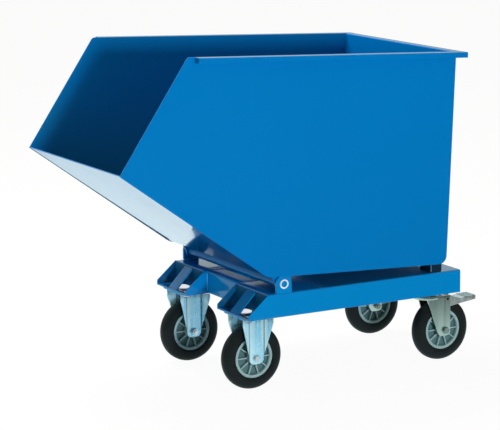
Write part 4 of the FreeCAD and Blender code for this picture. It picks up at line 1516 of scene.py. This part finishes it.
    def fork(self) -> Mesh:
        """Fork of a swivel castor: crown, race seat and two legs that trail to the axle.

        Returns:
            The fork with its axle above the Y axis.
        """
        mesh = bmesh.new()
        under = self.crown - self.crown_plate
        end = self.axle - self.fork_drop
        rows = [(self.crown, self.fork_front, self.fork_back)]
        for step in range(self.taper_steps + 1):
            share = step / self.taper_steps
            front = self.fork_front + self.fork_taper * share
            rows.append((under + (end - under) * share, front, self.fork_back))
        rows += rounded_foot(self.foot, self.fork_toe, self.fork_back, self.fork_round)[1:]
        self.legs(mesh, SheetLegs(rows, *self.fork_folds, self.fork_angle))
        king = -self.trail
        ahead, behind = self.crown_reach
        self.block(mesh, (king - ahead, -self.crown_half, under),
                   (king + behind, self.crown_half, self.crown), self.crown_round)
        seat = bmesh.new()
        depth = self.crown_plate + self.seat_rise
        disc = bmesh.ops.create_cone(seat, cap_ends=True, segments=self.seat_sides, radius1=self.head,
                                     radius2=self.head, depth=depth)["verts"]
        bmesh.ops.translate(seat, verts=disc, vec=(king, 0.0, under + depth / 2))
        round_edges(seat, sharp_edges(seat, PLATE_CORNER), self.seat_edge)
        join(mesh, seat)
        return mesh


@dataclass(frozen=True)
class Lamp:
    """Soft square lamp.

    Attributes:
        name: Name of the lamp.
        place: Where it stands.
        aim: What it points at.
        size: Edge of the lamp.
        power: Power in watts.
    """

    name: str
    place: Point
    aim: Point
    size: float
    power: float

    def build(self) -> None:
        """Lamp that lights the trolley and doesn't show in its gloss."""
        data = bpy.data.lights.new(self.name, "AREA")
        data.size = self.size
        data.energy = self.power
        made = bpy.data.objects.new(self.name, data)
        bpy.context.scene.collection.objects.link(made)
        made.location = self.place
        made.rotation_euler = (Vector(self.aim) - Vector(self.place)).to_track_quat("-Z", "Y").to_euler()
        made.visible_glossy = False


@dataclass
class Studio:
    """Pale paper, soft light and the camera at the photograph's view.

    Attributes:
        eye: Place of the camera.
        yaw: Turn of the view about Z, in degrees.
        pitch: Height angle of the camera above the level, in degrees.
        roll: Turn of the picture, in degrees.
        lens: Focal length of the camera.
        sensor: Width of the camera's sensor.
        far: Distance up to which the camera sees.
        floor_size: Edge of the paper.
        paper: Share of the paper's white that keeps no shadow.
        paper_color: Colour of the paper in the lamps' light.
        near: Distance to which the paper shines in gloss, and where the dark room begins.
        near_middle: Middle of the paper that shines in gloss.
        room_color: Colour of the dark room.
        mirrored: Colour of paper and surround in gloss.
        ambient: Even light from all round.
        ambient_tint: Colour of that light.
        gloss_low: Brightness of the surround in gloss, low down.
        gloss_lean: How far its bright part leans to the back.
        gloss_rise: Heights between which it grows to white.
        lamps: Lamps of the studio.
    """

    eye: Point = (-3.38275, -5.87709, 1.78417)
    yaw: float = -29.57
    pitch: float = 10.83
    roll: float = -0.43
    lens: float = 159.86
    sensor: float = 36.0
    far: float = 100.0
    floor_size: float = 30.0
    paper: float = 0.95
    paper_color: Color = (0.86, 0.86, 0.86)
    near: Span = (1.35, 2.05)
    near_middle: Point = (0.0, 0.68, 0.0)
    room_color: Color = (0.02, 0.025, 0.03)
    mirrored: Color = (0.78, 0.95, 1.0)
    ambient: float = 0.25
    ambient_tint: Color = (1.0, 1.0, 0.62)
    gloss_low: float = 0.20
    gloss_lean: float = 0.45
    gloss_rise: Span = (0.25, 0.75)
    lamps: tuple[Lamp, ...] = (
        Lamp("key", (-0.55, -5.5, 1.20), (0.0, 0.0, 0.45), 0.6, 170.0),
        Lamp("front_fill", (-3.0, 0.3, 4.2), (0.2, 0.2, 0.9), 1.5, 60.0),
        Lamp("back", (-0.6, 2.2, 4.6), (0.0, 0.3, 0.3), 2.4, 240.0))

    def build(self) -> None:
        """Floor, world, lamps and camera."""
        self.floor()
        self.world()
        for lamp in self.lamps:
            lamp.build()
        self.camera()

    def rays(self, graph: Graph) -> tuple[Value, Value]:
        """Kinds of ray that see the background.

        Args:
            graph: Node graph that asks.

        Returns:
            1 for rays of the camera or through glass, and 1 for rays in gloss.
        """
        path = graph.node("ShaderNodeLightPath")
        camera, glossy, through = (Value(graph, path.outputs[name]) for name in (
            "Is Camera Ray", "Is Glossy Ray", "Is Transmission Ray"))
        return camera.peak(through), glossy

    def floor(self) -> None:
        """Large sheet of white paper."""
        mesh = bmesh.new()
        bmesh.ops.create_grid(mesh, x_segments=1, y_segments=1, size=self.floor_size / 2)
        data = bpy.data.meshes.new("studio_floor")
        mesh.to_mesh(data)
        mesh.free()
        made = bpy.data.objects.new("studio_floor", data)
        bpy.context.scene.collection.objects.link(made)
        data.materials.append(self.paper_material())

    def paper_material(self) -> bpy.types.Material:
        """White paper that keeps a soft shadow; in gloss it ends in a dark room.

        Returns:
            The material.
        """
        made = bpy.data.materials.new("studio_paper")
        made.use_nodes = True
        graph = Graph(made.node_tree)
        direct, glossy = self.rays(graph)
        place = graph.node("ShaderNodeNewGeometry").outputs["Position"]
        away = graph.node("ShaderNodeVectorMath", {"operation": "DISTANCE"}, {0: place, 1: self.near_middle})
        room = glossy * Value(graph, away.outputs["Value"]).above(*self.near)
        matt = graph.node("ShaderNodeBsdfDiffuse", {}, {"Color": self.paper_color})
        shade = graph.tint(glossy, WHITE, self.mirrored)
        white = graph.node("ShaderNodeEmission", {}, {"Color": shade, "Strength": 1.0})
        dark = graph.node("ShaderNodeEmission", {}, {"Color": self.room_color, "Strength": 1.0})
        shown = graph.node("ShaderNodeMixShader", {}, {
            0: self.paper * direct.peak(glossy), 1: matt.outputs[0], 2: white.outputs[0]})
        mixed = graph.node("ShaderNodeMixShader", {}, {0: room, 1: shown.outputs[0], 2: dark.outputs[0]})
        graph.surface(mixed.outputs[0])
        return made

    def world(self) -> None:
        """White surround for what is seen, brighter above in gloss, and a low even light."""
        world = bpy.data.worlds.new("studio")
        bpy.context.scene.world = world
        world.use_nodes = True
        graph = Graph(world.node_tree)
        direct, glossy = self.rays(graph)
        way = graph.node("ShaderNodeTexCoord").outputs["Generated"]
        part = graph.node("ShaderNodeSeparateXYZ", {}, {0: way})
        behind, above = (Value(graph, part.outputs[axis]) for axis in (1, 2))
        bright = (above + self.gloss_lean * behind).above(*self.gloss_rise)
        gloss = glossy * (self.gloss_low + (1.0 - self.gloss_low) * bright)
        strength = direct.peak(gloss).peak(self.ambient)
        shade = graph.tint(glossy, graph.tint(direct, self.ambient_tint, WHITE), self.mirrored)
        made = graph.node("ShaderNodeBackground", {}, {"Color": shade, "Strength": strength})
        graph.node("ShaderNodeOutputWorld", {}, {"Surface": made.outputs[0]})

    def camera(self) -> None:
        """Camera at the photograph's view."""
        data = bpy.data.cameras.new("view")
        data.sensor_fit = "HORIZONTAL"
        data.sensor_width = self.sensor
        data.lens = self.lens
        data.clip_end = self.far
        made = bpy.data.objects.new("view", data)
        bpy.context.scene.collection.objects.link(made)
        yaw, pitch, roll = (math.radians(turn) for turn in (self.yaw, self.pitch, self.roll))
        back = Vector((math.sin(yaw) * math.cos(pitch), -math.cos(yaw) * math.cos(pitch), math.sin(pitch)))
        level = Vector((math.cos(yaw), math.sin(yaw), 0.0))
        upright = back.cross(level)
        right = math.cos(roll) * level + math.sin(roll) * upright
        up = math.cos(roll) * upright - math.sin(roll) * level
        turned = Matrix((right, up, back)).transposed().to_4x4()
        made.matrix_world = Matrix.Translation(self.eye) @ turned
        bpy.context.scene.camera = made


def main() -> None:
    """Build every sub-assembly."""
    logging.basicConfig(level=logging.INFO, format="%(message)s")
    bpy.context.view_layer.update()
    for assembly in (Skip(), Chassis(), Castors()):
        assembly.build()
        assembly.dress()
    for end in End:
        for side in Side:
            Wheel(end, side).build()
    Studio().build()
    bpy.context.scene.view_settings.view_transform = "Standard"


if __name__ == "__main__":
    main()
